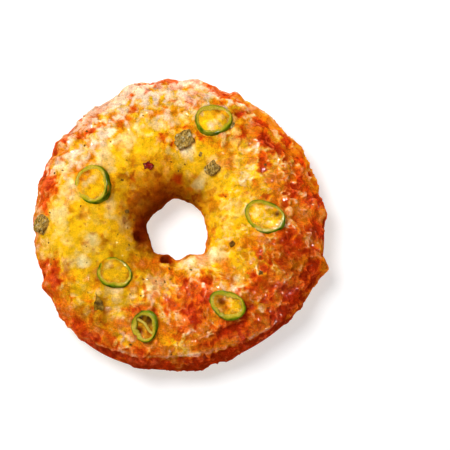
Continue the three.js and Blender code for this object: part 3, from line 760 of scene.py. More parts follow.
# How much each form adds to a crag: everywhere, and on top of that where the ridges make a net
CRAG_FORMS = [
    (ridges, 0.08, 0.22), (small_ridges, 0.0, 0.15), (curd, 0.4, -0.15), (small_curd, 0.22, 0.0),
    (strand_form, 0.15, 0.0),
]
crag = sum((everywhere + in_net * netted) * form for form, everywhere, in_net in CRAG_FORMS)
crag = crag - crag.mean()
print("crags go from", crag.min().round(2), "to", crag.max().round(2), "round their mean")

# %% [markdown]
# ## What filled the chilli rings
# Cheese ran into the rings, and each holds its own: smooth yellow, cream from a melted rib, low brown pits
# whose brown is partly painted shade, or a dark hollow, which is painted shade. Here and there cheese also
# ran over a wall. The list gives the ring, the place from its middle (right, up) and the reach in mm, what
# lies there and how strong it is.

# %% The fillings
RING_FILLINGS = [
    (1, 1.9, 4.0, 2.0, "brown", 0.8), (1, 0.5, 2.2, 1.6, "brown", 0.5), (1, -3.3, 0.7, 3.2, "yellow", 1.0),
    (1, -1.0, -3.6, 1.7, "cream", 0.9), (1, 0.5, -1.2, 1.1, "cream", 0.5),
    (1, 4.7, -0.3, 1.5, "brown", 0.4), (2, -2.8, 0.0, 1.4, "cream", 1.0),
    (2, -1.2, 1.2, 1.4, "cream", 1.0), (2, 0.6, 2.4, 1.4, "cream", 1.0), (2, -1.6, 5.2, 1.8, "brown", 0.7),
    (2, 0.8, -2.5, 2.4, "yellow", 1.0), (2, -1.1, -1.6, 0.8, "brown", 0.6),
    (3, -2.2, 0.7, 3.0, "yellow", 1.0), (3, 1.1, -2.6, 1.6, "cream", 0.7), (3, 4.7, 0.9, 0.9, "dark", 0.9),
    (3, 3.5, 0.7, 1.8, "brown", 0.5), (3, 0.8, 2.6, 1.4, "brown", 0.4), (4, -2.7, 2.8, 1.8, "cream", 0.8),
    (4, 1.5, 1.8, 1.3, "brown", 0.4), (4, 1.5, -1.7, 2.6, "yellow", 1.0), (5, 1.8, 2.6, 2.8, "dark", 1.0),
    (5, -1.4, 3.4, 2.0, "dark", 0.9), (5, -2.0, -1.6, 2.4, "brown", 1.0),
    (5, -2.4, -1.2, 1.6, "dark", 0.5), (5, 0.8, -4.0, 1.5, "yellow", 0.7),
    (5, 1.8, -1.8, 1.6, "brown", 1.0), (5, -4.6, -4.2, 1.3, "over", 0.3),
    (6, -2.2, 1.7, 2.8, "brown", 1.0), (6, -0.8, -0.6, 1.8, "brown", 1.0),
    (6, 1.8, -2.3, 1.8, "yellow", 1.0), (6, -2.4, 1.6, 1.2, "dark", 0.5),
    (6, -5.0, -3.4, 1.5, "over", 0.4),
]
# In mm: over which the inside of a ring fades at its wall, and how wide the painted shadow at the wall's foot
# is
INSIDE_FADE = (0.6, -0.2)
WALL_SHADOW_INSIDE, WALL_SHADOW_OUTSIDE = 0.9, 0.4

filling = {what: np.zeros(len(skin_place)) for what in ("yellow", "cream", "brown", "dark", "over")}
for ring, right, up, reach, what, strength in RING_FILLINGS:
    at, _ = slice_seat(ring - 1)
    away = np.hypot(skin_place[:, 0] - at[0] - right, skin_place[:, 1] - at[1] - up)
    filling[what] = np.maximum(filling[what], strength * bell(away, reach))
in_ring = np.zeros(len(skin_place))
wall_foot_shadow = np.zeros(len(skin_place))
for number, ring in enumerate(SLICES):
    at, axes = slice_seat(number)
    local = (skin_place - at) @ axes.T
    beyond = np.hypot(local[:, 0], local[:, 1]) - slice_radius(number, np.arctan2(local[:, 1], local[:, 0]))
    near = np.linalg.norm(local, axis=1) < ring["long"]
    in_ring = np.maximum(in_ring, near * smooth(*INSIDE_FADE, beyond + ring["wall"] / 2))
    # A painted shadow: the foot of each ring's wall, inside and outside, is darker
    foot = np.maximum(bell(beyond + ring["wall"], WALL_SHADOW_INSIDE), bell(beyond, WALL_SHADOW_OUTSIDE))
    wall_foot_shadow = np.maximum(wall_foot_shadow, near * foot)
print("the rings hold", round(float(in_ring.mean()), 3), "of the skin")

# %% [markdown]
# ## The look of every point
# Seven numbers on each point carry the look of the topping to its material. Cover says how much cheese lies
# on the sauce, paleness whether it is cheddar or mozzarella, stain how much tomato and oil soaked into it,
# and toast how far the oven browned it. On crests and on the lip of the ledge paleness is partly a painted
# highlight. In the pits, the hollows and on the shaded wall of the hole, stain and toast are partly painted
# shade. Raw says where strands still stand, shade is the painted light and shade that makes a place lighter
# or darker, and oil says where oil stands. Each number has a recipe: a cause adds or takes away the share
# before it.

# %% Noises and places that the recipes use
# A painted highlight on the lip of the ledge: how far above the edge it lies and its half width, in radians
LEDGE_HIGHLIGHT_PLACE, LEDGE_HIGHLIGHT_WIDTH = 0.05, 0.06
# Between which values of a noise the crest of a ridge and the top of a curd turn pale
CREST_RANGE = (0.6, 0.95)
CURD_TOP_RANGE = (0.75, 1.0)

blotches = fine_noise(skin_place + 1.5 * warp, grain=5.0, seed=80)
clouds = fine_noise(skin_place + 2 * warp, grain=8.0, seed=85, octaves=2)
crumbs = fine_noise(skin_place, grain=1.7, seed=90)
mottle = fine_noise(skin_place + warp, grain=2.4, seed=92)
dapple = fine_noise(skin_place + warp, grain=2.6, seed=95)
specks = fine_noise(skin_place + warp, grain=3.4, seed=98)
freckles = smooth(*FRECKLE_RANGE, fine_noise(skin_place, FRECKLE_SIZE, seed=97, octaves=2))

left_rim = outside * facing(180, 45)
right_rim = outside * facing(50, 40)
far_rim = facing(105, 55) * (1 - up_section(45, 85))
above_ledge, ledge_strength = ledge_place(skin_turn, skin_arc)
# A painted highlight: a pale line along the lip of the ledge
ledge_highlight = np.minimum(1, 1.6 * ledge_strength) * bell(above_ledge - LEDGE_HIGHLIGHT_PLACE, LEDGE_HIGHLIGHT_WIDTH)
below_ledge = ledge_strength * smooth(0.02, -0.06, above_ledge)
fold_line = np.zeros(len(skin_place))
for start, end, _, width in FOLDS:
    fold_line = np.maximum(fold_line, bell(away_from_fold(skin_place, skin_arc, start, end), width))
# The pits beside the hole hold no cheese; their toast brown and darker shade are painted shade
hollow = np.zeros(len(skin_place))
for angle, distance, radius, _ in PITS:
    hollow = np.maximum(hollow, bell(away_from(skin_place, angle, distance), 0.9 * radius))
# Raw cheese is palest on the crests of its ridges and on top of its curds, partly as mozzarella
# and partly as a painted highlight
crest = netted * (smooth(*CREST_RANGE, ridges) + 0.8 * smooth(*CREST_RANGE, small_ridges))
crest = np.maximum(crest, (1 - netted) * smooth(*CURD_TOP_RANGE, curd))
crest *= (rawness + 0.2 * smoothness) * smooth(0.3, 0.8, curd_kind)

# %% Cover
cover = 0.56 + 0.5 * cheddar + 0.4 * mozzarella - 0.55 * sauce - 0.08 * outside
cover += 0.2 * far_side - 0.25 * near_side * outside - 0.3 * fold_line
cover += 0.2 * right_rim - 0.14 * (1 - inner_wall) * facing(316, 22)
cover += (0.5 * rawness + 0.3 * outside + 0.2) * crag + 0.1 * (curd_kind - 0.5)
cover += (0.3 + 0.25 * outside) * blotches + 0.2 * (0.3 + rawness) * mottle
cover = np.clip(0.05 + cover - 0.35 * below_ledge + 0.4 * ledge_highlight - hollow, 0, 1)
cover = np.clip(cover - 0.35 * far_rim * smooth(0.15, 0.6, specks), 0, 1)
cover += in_ring * (0.85 - cover)
cover = np.clip(cover + filling["over"] + filling["cream"] - 0.3 * filling["brown"], 0, 1)
cover = np.clip(cover + 0.15 * crest, 0, 1)
print("cheese covers", cover.mean().round(2), "of the sauce")

# %% Paleness
LEAST_PALE = 0.2  # the two cheeses mix only above this, so that cheddar keeps its full yellow

kinds = 0.5 * strand_pale + 0.5 * curd_kind
# The ledge's painted highlight makes its lip paler
pale = (0.65 + 0.35 * smoothness) * mozzarella + 0.5 * (far_side - near_side) * outside + 0.9 * ledge_highlight
pale += far_rim * (0.5 + 0.8 * mottle + 0.4 * (curd_kind - 0.5)) + 0.3 * smoothness * clouds
pale += (kinds - 0.5) * (0.5 * rawness + 0.1) * (1 - 0.6 * cheddar) + crag * (0.1 + rawness)
# Painted shade: less cream on the wall of the hole that faces away from the window light
pale = np.clip(pale + 0.1 * crumbs, 0, 1) * (1 - 0.8 * inner_wall * facing(160, 70))
pale += in_ring * (0.08 + 0.5 * crag - pale)
pale = np.clip(pale + 0.6 * filling["cream"] + 0.6 * filling["over"] - 0.4 * filling["yellow"], 0, 1)
pale = np.clip((pale - LEAST_PALE) / (1 - LEAST_PALE), 0, 1)
# Crests turn paler, more so below the ledge, partly as a painted highlight
pale = np.clip(pale + (0.4 + 0.4 * below_ledge) * crest, 0, 1)
pale = np.clip(pale + left_rim * (0.25 + 0.5 * crumbs), 0, 1)
print("mozzarella is", pale.mean().round(2), "of the cheese")

# %% Stain and toast
stain = 0.42 + 0.3 * outside + 0.3 * sauce + 0.4 * near_side - 0.7 * cheddar - 0.5 * mozzarella
stain += 0.6 * far_side * rawness * clouds + in_hole * (0.2 - 0.15 * near_side)
stain += 0.8 * blotches + 0.25 * rawness * (small_kind - 0.5)
stain -= 0.7 * crag * (0.3 + rawness) + 0.3 * smoothness * clouds
stain = np.clip(stain - 0.1 * far_side - 0.2 * far_side * outside + 0.9 * far_rim * specks, 0, 1)
# Painted shade: the wall of the hole that faces away from the window light is more orange
stain = np.clip(stain + 0.4 * inner_wall * facing(160, 80), 0, 1)
stain += in_ring * (0.12 + 0.5 * blotches - stain)
stain = np.clip(stain - 0.5 * filling["yellow"] - 0.6 * filling["cream"] - 0.6 * filling["over"], 0, 1)
stain *= 1 - 0.5 * pale * np.maximum(smoothness, far_side)
stain = np.clip(stain + 0.4 * freckles * smoothness, 0, 1)

# The oven's browning, and painted shade where the same brown darkens the pits, the dark and brown
# fillings of the rings and the wall of the hole that faces away from the window light
toast_and_shade = 0.75 * toast + 0.3 * toast * blotches - 0.3 * crag * outside * near_side
toast_and_shade += 0.18 * freckles * smoothness + 0.9 * hollow + 0.65 * inner_wall * facing(150, 60)
toast_and_shade = np.clip(np.maximum(toast_and_shade, 0.8 * filling["brown"] + filling["dark"]), 0, 1)
print("stain", stain.mean().round(2), "and toast", toast_and_shade.mean().round(2))

# %% Painted light and shade, and oil
# Painted light and shade on sides of the ring, made lighter or darker: where, the angle, its half width, and
# the change
SIDE_SHADES = [
    (outside, 48, 42, 0.7), (outside, 255, 22, -0.14), (in_hole, 300, 60, 0.12), (smoothness, 165, 30, -0.12),
    (inner_wall, 70, 30, -0.3), (inner_wall, 150, 90, -0.1),
]

# Painted light and shade: high crags and crumbs are lighter and their dips darker; pits, dark fillings,
# the feet of the ring walls and the smooth pools on the left are darker, and the fillings of the rings
# lighter
painted_light_and_shade = 1.12 + 0.24 * dapple - 0.3 * stain * smoothness
painted_light_and_shade += (0.5 + 0.3 * netted) * crag * (0.3 + 0.7 * rawness)
painted_light_and_shade *= (1 - 0.8 * filling["dark"]) * (1 - 0.22 * wall_foot_shadow) * (1 + 0.12 * in_ring)
painted_light_and_shade *= 1 - 0.5 * hollow - 0.36 * smoothness * facing(222, 42)
painted_light_and_shade *= 1 + 0.2 * crumbs * (0.4 + 0.6 * rawness)
for where, angle, half_width, change in SIDE_SHADES:
    painted_light_and_shade *= 1 + change * where * facing(angle, half_width)
stain = np.clip(stain + 0.2 * wall_foot_shadow, 0, 1)  # painted shadow: the foot of each ring's wall is also more orange
oil = smooth(0.0, 0.4, 0.7 * dapple + 1.2 * crag + 0.25 * netted)
oil *= up_section(-25, 5) * (1 - inner_wall) * (1 - 0.5 * smoothness)
print("oil stands on", (oil > 0.5).mean().round(2), "of the skin")

# %% [markdown]
# ## The fine relief
# To the large relief come the crags, a crumbly grain where the cheese is raw, a raised lip round every chilli
# ring and the cheese that rose inside it. Near its two edges the skin thins to a rounded rim.

# %% Lift of each point above the bread
# Heights are in mm, and shares go from 0 to 1
CRAG_HEIGHT = 2.5
CRAGS_LEFT = 0.2  # of the crags, where the cheese ran smooth
GRAIN_HEIGHT = 0.22
GRAIN_LEFT = 0.3
BLOTCH_HEIGHT = 0.12
RIM_CALM = 0.7  # of the crags are gone on the lumps of the rim
RIM_CALM_SPREAD = 0.6  # radians of the section
EDGE_ROUNDING = 1.6
EDGE_THICKNESS = 0.1
MENISCUS_HEIGHT = 0.4
MENISCUS_REACH = 1.3
MENISCUS_WAVER = 1.5  # how unevenly it stands
# A ring moves the cheese no further than this above and below its seat, and beyond its wall
RING_HEIGHT_REACH, RING_SIDE_REACH = 6, 8
FILLING_SAG = 0.3  # of its height, from halfway out to the wall
FILLING_GRAIN = 0.25
FILLING_CRAGS = 0.9
FILLING_RISE = {"cream": 0.6, "brown": -0.6, "dark": -0.9}
WALL_START, WALL_END = 0.9, 0.3  # where the filling stops, in shares of the wall
OVERFLOW = 2.0  # cheese that ran over a wall


def lift_round_slices(lift):
    """Raises the cheese round each chilli ring and sets its height inside."""
    normal = skin_point(skin_turn, skin_arc, 1.0) - skin_place
    meniscus = MENISCUS_HEIGHT * (1 + MENISCUS_WAVER * place_waver)
    for number, ring in enumerate(SLICES):
        at, axes = slice_seat(number)
        local = (skin_place + lift[:, None] * normal - at) @ axes.T
        radius = np.hypot(local[:, 0], local[:, 1])
        outer = slice_radius(number, np.arctan2(local[:, 1], local[:, 0]))
        beyond = radius - outer
        close = (np.abs(local[:, 2]) < RING_HEIGHT_REACH) & (beyond < RING_SIDE_REACH)
        lift = lift + close * meniscus * bell(np.maximum(beyond, 0), MENISCUS_REACH)
        sag = FILLING_SAG * smooth(0.5, 1.0, radius / (outer - ring["wall"]))
        wanted = ring["cheese"] * (ring["tall"] - ring["sunk"]) * (1 - sag)
        wanted += FILLING_GRAIN * crumbs + FILLING_CRAGS * crag
        wanted += sum(height * filling[what] for what, height in FILLING_RISE.items())
        rise = (wanted - local[:, 2]) / (normal @ axes[2])
        inside = close * (1 - smooth(-WALL_START * ring["wall"], -WALL_END * ring["wall"], beyond))
        lift = lift + inside * rise
    return lift + OVERFLOW * filling["over"]


lift = plain_thickness(skin_arc) + large_relief(skin_place, skin_turn, skin_arc)
calm_rim = 1 - RIM_CALM * np.clip(lumps(RIM_LUMPS, skin_turn), 0, 1) * bell(skin_arc, RIM_CALM_SPREAD)
lift += CRAG_HEIGHT * crag * (CRAGS_LEFT + (1 - CRAGS_LEFT) * rawness) * calm_rim
lift += GRAIN_HEIGHT * crumbs * (GRAIN_LEFT + (1 - GRAIN_LEFT) * rawness) + BLOTCH_HEIGHT * blotches
lift = lift_round_slices(np.maximum(lift, LEAST_THICKNESS))
lift = np.maximum(lift, LEAST_THICKNESS)
from_edge = SECTION_SCALE * np.minimum(skin_arc - outer_edge(skin_turn), hole_edge(skin_turn) - skin_arc)
rounding = np.sqrt(np.clip(1 - (1 - from_edge / EDGE_ROUNDING) ** 2, 0, 1))
rounding = np.where(from_edge > EDGE_ROUNDING, 1, rounding)
edge_lift = LINING_GAP + EDGE_THICKNESS
lift = edge_lift + (lift - edge_lift) * rounding
print("the skin is", lift.min().round(2), "to", lift.max().round(2), "mm thick")

# %% Close the skin on the bread
lining_counts = [LINING_FACETS] * (LINING_ROWS + 1)
lining_rows, lining_turn = row_places(lining_counts)
lining_share = lining_rows / LINING_ROWS
lining_arc = hole_edge(lining_turn) + (outer_edge(lining_turn) - hole_edge(lining_turn)) * lining_share
topping_points = np.concatenate([
    skin_point(skin_turn, skin_arc, lift), skin_point(lining_turn, lining_arc, LINING_GAP)])
topping_faces = zipped_rows(outer_counts + lining_counts)
lining_fill = np.zeros(len(lining_turn))
# shade carries the painted light and shade to the material
painted = dict(cover=cover, pale=pale, stain=stain, toast=toast_and_shade, raw=rawness, shade=painted_light_and_shade, oil=oil)
topping_fields = {name: np.concatenate([field, lining_fill]) for name, field in painted.items()}
print(len(topping_points), "points and", len(topping_faces), "triangles, with", ", ".join(topping_fields))

# %% [markdown]
# ## Melted cheese over tomato sauce
# Cheese is a soft fat and protein gel: light goes a little way in and comes out yellow. Only the oil that it
# sweats shines: the oil stands in small beads, and each round bead shows a lamp as one small glint. Cooked
# tomato sauce is a deep red, wet pulp. The material layers them as the cook did: sauce, then orange oil where
# the cheese is thin, then cheese by its cover, then the oven's browning, which in pits and hollows is painted
# shade. The painted light and shade of each point then makes its colour lighter or darker. The beads of oil
# are a coat on top.

# %% The topping's material
SAUCE_DEEP = "#861002"
SAUCE_BRIGHT = "#e23e0a"
SAUCE_CREAMED = "#f0703c"
OIL_ORANGE = "#de560a"
CHEDDAR_YELLOW = "#f5ba12"
MOZZARELLA_CREAM = "#fad6b0"
MOZZARELLA_MELTED = "#f8e096"
# The oven's brown, also used as painted shade in pits and hollows
TOAST_AND_SHADE_RED = "#7c2602"
GRAIN_MM = 0.6  # curds of the cheese, as fine as the render can show
STREAK_MM = 2.2
BEAD_MM = 2.0
BORDER_FRAY = 0.04  # by which grain and streaks move the border between sauce and cheese
# The cover over which orange oil hides the sauce, and over which cheese hides the oil
THIN_COVER, THICK_COVER = (0.0, 0.5), (0.3, 0.9)
# How much of what lies below a full stain and a full toast hide
STAIN_SHARE, TOAST_SHARE = 0.75, 0.85
# On smooth and on raw cheese: the darkest and the lightest shade of the grain, and how strongly it shows
DARKEST, LIGHTEST, GRAIN_STRENGTH = (0.84, 0.7), (1.12, 1.24), (0.35, 0.75)


def cheese_and_sauce():
    material, tree = new_material("melted cheese over tomato sauce")
    place = add_node(tree, "TexCoord", output="Object")
    fields = {name: add_node(tree, "Attribute", {"attribute_name": name}, output="Fac")
              for name in topping_fields}
    grain = add_node(tree, "TexNoise", inputs={
        "Vector": place, "Scale": per_metre(GRAIN_MM), "Detail": 2.0, "Roughness": 0.6})
    streaks = add_node(tree, "TexNoise", inputs={
        "Vector": place, "Scale": per_metre(STREAK_MM), "Detail": 4.0, "Roughness": 0.65, "Distortion": 0.6})
    fray = add_node(tree, "Math", {"operation": "ADD"}, {0: grain, 1: streaks})
    fray = add_node(tree, "Math", {"operation": "MULTIPLY_ADD"}, {
        0: fray, 1: BORDER_FRAY, 2: -BORDER_FRAY})
    layer = add_node(tree, "Math", {"operation": "ADD"}, {0: fields["cover"], 1: fray})
    thin, thick = (
        add_node(tree, "MapRange", {"interpolation_type": "SMOOTHSTEP"}, {
            "Value": layer, "From Min": low, "From Max": high})
        for low, high in (THIN_COVER, THICK_COVER))
    # Toast is the oven's browning, and painted shade in pits, hollows and on the shaded wall of the hole
    soaked, browned = (
        add_node(tree, "Math", {"operation": "MULTIPLY"}, {0: fields[name], 1: share})
        for name, share in (("stain", STAIN_SHARE), ("toast", TOAST_SHARE)))

    mozzarella_colour = add_node(tree, **COLOUR_MIX, inputs={
        SHARE: fields["raw"], UNDER: linear(MOZZARELLA_MELTED), OVER: linear(MOZZARELLA_CREAM)})
    cheese_colour = linear(CHEDDAR_YELLOW)
    for share, over in ((fields["pale"], mozzarella_colour), (soaked, linear(OIL_ORANGE))):
        cheese_colour = add_node(tree, **COLOUR_MIX, inputs={SHARE: share, UNDER: cheese_colour, OVER: over})
    colour = linear(SAUCE_DEEP)
    layers = [
        (streaks, linear(SAUCE_BRIGHT)), (fields["pale"], linear(SAUCE_CREAMED)), (thin, linear(OIL_ORANGE)),
        (thick, cheese_colour), (browned, linear(TOAST_AND_SHADE_RED)),
    ]
    for share, over in layers:
        colour = add_node(tree, **COLOUR_MIX, inputs={SHARE: share, UNDER: colour, OVER: over})

    darkest, lightest, grain_strength = (
        add_node(tree, "MapRange", inputs={"Value": fields["raw"], "To Min": on_smooth, "To Max": on_raw})
        for on_smooth, on_raw in (DARKEST, LIGHTEST, GRAIN_STRENGTH))
    shade = add_node(tree, "MapRange", inputs={
        "Value": grain, "From Min": 0.3, "From Max": 0.7, "To Min": darkest, "To Max": lightest})
    # The painted light and shade of each point makes the colour lighter or darker
    shade = add_node(tree, "Math", {"operation": "MULTIPLY"}, {0: shade, 1: fields["shade"]})
    colour = add_node(tree, "VectorMath", {"operation": "SCALE"}, {0: colour, "Scale": shade})
    bump = add_node(tree, "Bump", inputs={
        "Height": grain, "Strength": grain_strength, "Distance": 0.0014})
    roughness = add_node(tree, "MapRange", inputs={
        "Value": streaks, "From Min": 0.35, "From Max": 0.65, "To Min": 0.45, "To Max": 0.3})

    beads = add_node(tree, "TexVoronoi", inputs={"Vector": place, "Scale": per_metre(BEAD_MM)})
    bead_height = add_node(tree, "MapRange", {"interpolation_type": "SMOOTHSTEP"}, {
        "Value": beads, "From Min": 0.0, "From Max": 0.5, "To Min": 1.0, "To Max": 0.0})
    bead_normal = add_node(tree, "Bump", inputs={
        "Height": bead_height, "Strength": 1.0, "Distance": 0.0004})
    bead_edge = add_node(tree, "MapRange", inputs={
        "Value": beads, "From Min": 0.32, "From Max": 0.42, "To Min": 1.0, "To Max": 0.0})
    bead_coat = add_node(tree, "Math", {"operation": "MULTIPLY"}, {0: fields["oil"], 1: bead_edge})
    surface = add_node(tree, "BsdfPrincipled", inputs={
        "Base Color": colour, "Roughness": roughness, "IOR": 1.46, "Specular IOR Level": 0.0, "Normal": bump,
        "Coat Weight": bead_coat, "Coat Roughness": 0.04, "Coat Normal": bead_normal,
        "Subsurface Weight": 0.1, "Subsurface Radius": (1.0, 0.5, 0.2), "Subsurface Scale": 0.0008})
    finish_material(tree, surface)
    return material


make_piece(
    "melted_topping", topping_points, topping_faces,
    cheese_and_sauce(), topping_fields, ["cheese_and_sauce"])

# %% [markdown]
# ## Green chilli rings
# A chilli cut across shows a thin waxy skin, dark green, round a wall of paler flesh, and some rings have a
# rib of white pith across. The cut edge is rounded and a little shrunk by the oven. A ring is turned like a
# lathe profile, but round an uneven oval.

# %% Profile of a chilli ring
# Rows from the foot outside, over the cut face, to the foot inside: [share of the way through the wall,
# share of the height, how much skin shows, how much pith]
RING_PROFILE = [
    [0.0, 0.0, 1, 0], [-0.1, 0.25, 1, 0], [-0.14, 0.5, 1, 0], [-0.12, 0.72, 1, 0], [-0.06, 0.86, 1, 0],
    [0.02, 0.95, 1, 0], [0.12, 0.99, 0.8, 0], [0.26, 1.0, 0.4, 0], [0.42, 0.985, 0.1, 0.0],
    [0.6, 0.98, 0, 0.1], [0.78, 0.96, 0, 0.35], [0.92, 0.9, 0, 0.6], [1.0, 0.8, 0, 0.5],
    [1.03, 0.7, 0.1, 0.2], [1.02, 0.4, 0.15, 0.1], [1.0, 0.0, 0.2, 0],
]
RING_POINTS = 112
# How uneven a ring is: its wall as a share, its rim and its radius in mm, and the patches of its skin
WALL_WAVER = 0.45
RIM_WAVER = 0.3
RADIUS_WAVER = 0.2
PATCH_WAVER = 0.4
# The bulges of its radius: how close together they are, and how they change towards its cut face
BULGES, BULGE_LEAN = 3, 0.4
PATCH_SHIFT = 9  # mm that part one ring's patches from the next one's


def ring_rows(number):
    ring = SLICES[number]
    rows, turn = row_places([RING_POINTS] * len(RING_PROFILE))
    profile = np.array(RING_PROFILE)[rows]
    angle = np.radians(turn)
    round_ring = on_unit_ring(turn) + [0, 0, number]
    wall = ring["wall"] * (1 + WALL_WAVER * fine_noise(round_ring, grain=0.7, seed=100 + number))
    radius = slice_radius(number, angle) - profile[:, 0] * wall
    bulges = fine_noise(BULGES * round_ring + BULGE_LEAN * profile[:, 1:2], grain=1.0, seed=130)
    radius += RADIUS_WAVER * bulges
    top = ring["tall"] - ring["sunk"] + RIM_WAVER * fine_noise(round_ring, grain=0.5, seed=120 + number)
    height = -ring["sunk"] + profile[:, 1] * (top + ring["sunk"])
    points = np.stack([radius * np.cos(angle), radius * np.sin(angle), height], axis=1)
    patches = PATCH_WAVER * fine_noise(points + PATCH_SHIFT * number, grain=2.6, seed=140)
    return points, np.clip(profile[:, 2] + patches, 0, 1), np.clip(profile[:, 3] - patches, 0, 1)


# %% A rib of pith across a ring
# Across the rib: [share of its width to the side, share of its height]
RIB_PROFILE = [[-0.55, 0.0], [-0.4, 0.7], [-0.25, 0.93], [0.0, 1.0], [0.25, 0.93], [0.4, 0.7], [0.55, 0.0]]
RIB_STEPS = 24
RIB_WIDTH = 1.7
RIB_THINNING = 0.4  # mm by which it is narrower in the middle
RIB_DROP = 0.7
RIB_SAG = 0.12  # of its height, in the middle
RIB_BEND, RIB_BENDS = 0.35, 0.9  # mm to the side, and radians of its wave for each mm along
RIB_PITH = 0.9


def rib_rows(number):
    """A low wall along x, turned and moved to its place. It sags and thins in the middle."""
    ring = SLICES[number]
    rib = ring["rib"]
    along = np.linspace(-rib["long"] / 2, rib["long"] / 2, RIB_STEPS)
    middle = 1 - (2 * along / rib["long"]) ** 2
    profile = np.array(RIB_PROFILE)
    x = np.repeat(along, len(profile))
    y = np.outer(RIB_WIDTH - RIB_THINNING * middle, profile[:, 0]).ravel() - rib["beside"]
    y += RIB_BEND * np.sin(RIB_BENDS * x + number)
    tall = (ring["tall"] - RIB_DROP) * (1 - RIB_SAG * middle)
    z = -ring["sunk"] + np.outer(tall, profile[:, 1]).ravel()
    turn = math.radians(rib["turn"])
    turned_x = x * math.cos(turn) - y * math.sin(turn)
    turned_y = x * math.sin(turn) + y * math.cos(turn)
    points = np.stack([turned_x, turned_y, z], axis=1)
    across = len(profile)
    faces = []
    for step in range(RIB_STEPS - 1):
        for k in range(across):
            a, b = step * across + k, step * across + (k + 1) % across
            faces.append((a, a + across, b + across, b))
    faces.append(tuple(range(across)))
    faces.append(tuple(range(RIB_STEPS * across - 1, (RIB_STEPS - 1) * across - 1, -1)))
    return points, faces


# %% [markdown]
# ## Chilli skin, flesh and pith
# Chilli skin is a tough, waxy film, so it reflects sharply and keeps a strong green. Under it the flesh is
# watery and yellow green, and the pith paler. In the oven both took up yellow oil from the cheese.

# %% The chilli's material
CHILLI_SKIN = "#3a5a02"
CHILLI_SKIN_LIGHT = "#788c0e"
CHILLI_FLESH = "#bea41c"
CHILLI_PITH = "#d8bc4a"
CELL_MM = 0.5  # watery cells of the flesh
SKIN_PATCH_MM = 4


def green_chilli():
    material, tree = new_material("green chilli skin and flesh")
    place = add_node(tree, "TexCoord", output="Object")
    skin, pith = (add_node(tree, "Attribute", {"attribute_name": name}, output="Fac")
                  for name in ("skin", "pith"))
    cells = add_node(tree, "TexNoise", inputs={
        "Vector": place, "Scale": per_metre(CELL_MM), "Detail": 3.0, "Roughness": 0.6})
    patches = add_node(tree, "TexNoise", inputs={
        "Vector": place, "Scale": per_metre(SKIN_PATCH_MM), "Detail": 2.0})
    patch_share = add_node(tree, "MapRange", inputs={
        "Value": patches, "From Min": 0.4, "From Max": 0.62})
    skin_colour = add_node(tree, **COLOUR_MIX, inputs={
        SHARE: patch_share, UNDER: linear(CHILLI_SKIN), OVER: linear(CHILLI_SKIN_LIGHT)})
    flesh_colour = add_node(tree, **COLOUR_MIX, inputs={
        SHARE: pith, UNDER: linear(CHILLI_FLESH), OVER: linear(CHILLI_PITH)})
    shade = add_node(tree, "MapRange", inputs={
        "Value": cells, "From Min": 0.3, "From Max": 0.7, "To Min": 0.65, "To Max": 1.15})
    flesh_colour = add_node(tree, "VectorMath", {"operation": "SCALE"}, {
        0: flesh_colour, "Scale": shade})
    colour = add_node(tree, **COLOUR_MIX, inputs={SHARE: skin, UNDER: flesh_colour, OVER: skin_colour})
    bump = add_node(tree, "Bump", inputs={"Height": cells, "Strength": 0.3, "Distance": 0.0004})
    surface = add_node(tree, "BsdfPrincipled", inputs={
        "Base Color": colour, "Roughness": 0.26, "IOR": 1.45, "Normal": bump,
        "Specular IOR Level": 0.0, "Subsurface Weight": 0.1, "Subsurface Radius": (0.8, 1.0, 0.2),
        "Subsurface Scale": 0.0008, "Coat Weight": 0.1, "Coat Roughness": 0.05})
    finish_material(tree, surface)
    return material


chilli_material = green_chilli()


def make_chilli_ring(number):
    points, skin, pith = ring_rows(number)
    faces = zipped_rows([RING_POINTS] * len(RING_PROFILE))
    if "rib" in SLICES[number]:
        rib_points, rib_faces = rib_rows(number)
        faces += [tuple(i + len(points) for i in face) for face in rib_faces]
        skin = np.concatenate([skin, np.zeros(len(rib_points))])
        pith = np.concatenate([pith, np.full(len(rib_points), RIB_PITH)])
        points = np.concatenate([points, rib_points])
    at, axes = slice_seat(number)
    make_piece(
        f"chilli_ring_{number + 1}", at + points @ axes, faces, chilli_material,
        {"skin": skin, "pith": pith}, [f"chilli_slice_{number + 1}"])


for number in range(len(SLICES)):
    make_chilli_ring(number)

# %% [markdown]
# ## Diced roast pepper
# The dice were cut from a thick green pepper and roasted: the corners are soft, the skin side is dark and
# the cut sides show fibres with a little oil. A cube is split finely, its corners drawn in, and its faces
# made uneven by noise.

# %% Shape of a dice
DICE_CUTS = 14
# The corners are drawn in by a ball: its share, and its size for a cube of 1
BALL_SHARE, BALL_SIZE = 0.3, 1.25
DICE_GRAIN = 2.0
UNEVENNESS = 0.6
SEED_SHIFT = 13.7  # mm that part one block's noise from the next one's


def rounded_block(length, width, height, cuts, seed, uneven=UNEVENNESS):
    """Points and faces of a block with soft corners. Its points are shared between the six sides."""
    steps = np.linspace(-1, 1, cuts + 1)
    index = {}
    points = []
    faces = []

    def corner(i, j, k):
        if (i, j, k) not in index:
            index[(i, j, k)] = len(points)
            points.append((steps[i], steps[j], steps[k]))
        return index[(i, j, k)]

    for axis in range(3):
        for end in (0, cuts):
            for u in range(cuts):
                for v in range(cuts):
                    square = []
                    for du, dv in ((0, 0), (1, 0), (1, 1), (0, 1)):
                        key = [0, 0, 0]
                        key[axis] = end
                        key[(axis + 1) % 3] = u + du
                        key[(axis + 2) % 3] = v + dv
                        square.append(corner(*key))
                    faces.append(tuple(square if end else square[::-1]))
    cube = np.array(points)
    ball = cube / np.linalg.norm(cube, axis=1, keepdims=True)
    form = cube * (1 - BALL_SHARE) + ball * BALL_SHARE * BALL_SIZE
    form *= np.array([length, width, height]) / 2
    push = uneven * fine_noise(form + seed * SEED_SHIFT, DICE_GRAIN, seed=200 + seed)
    return form + ball * push[:, None], faces


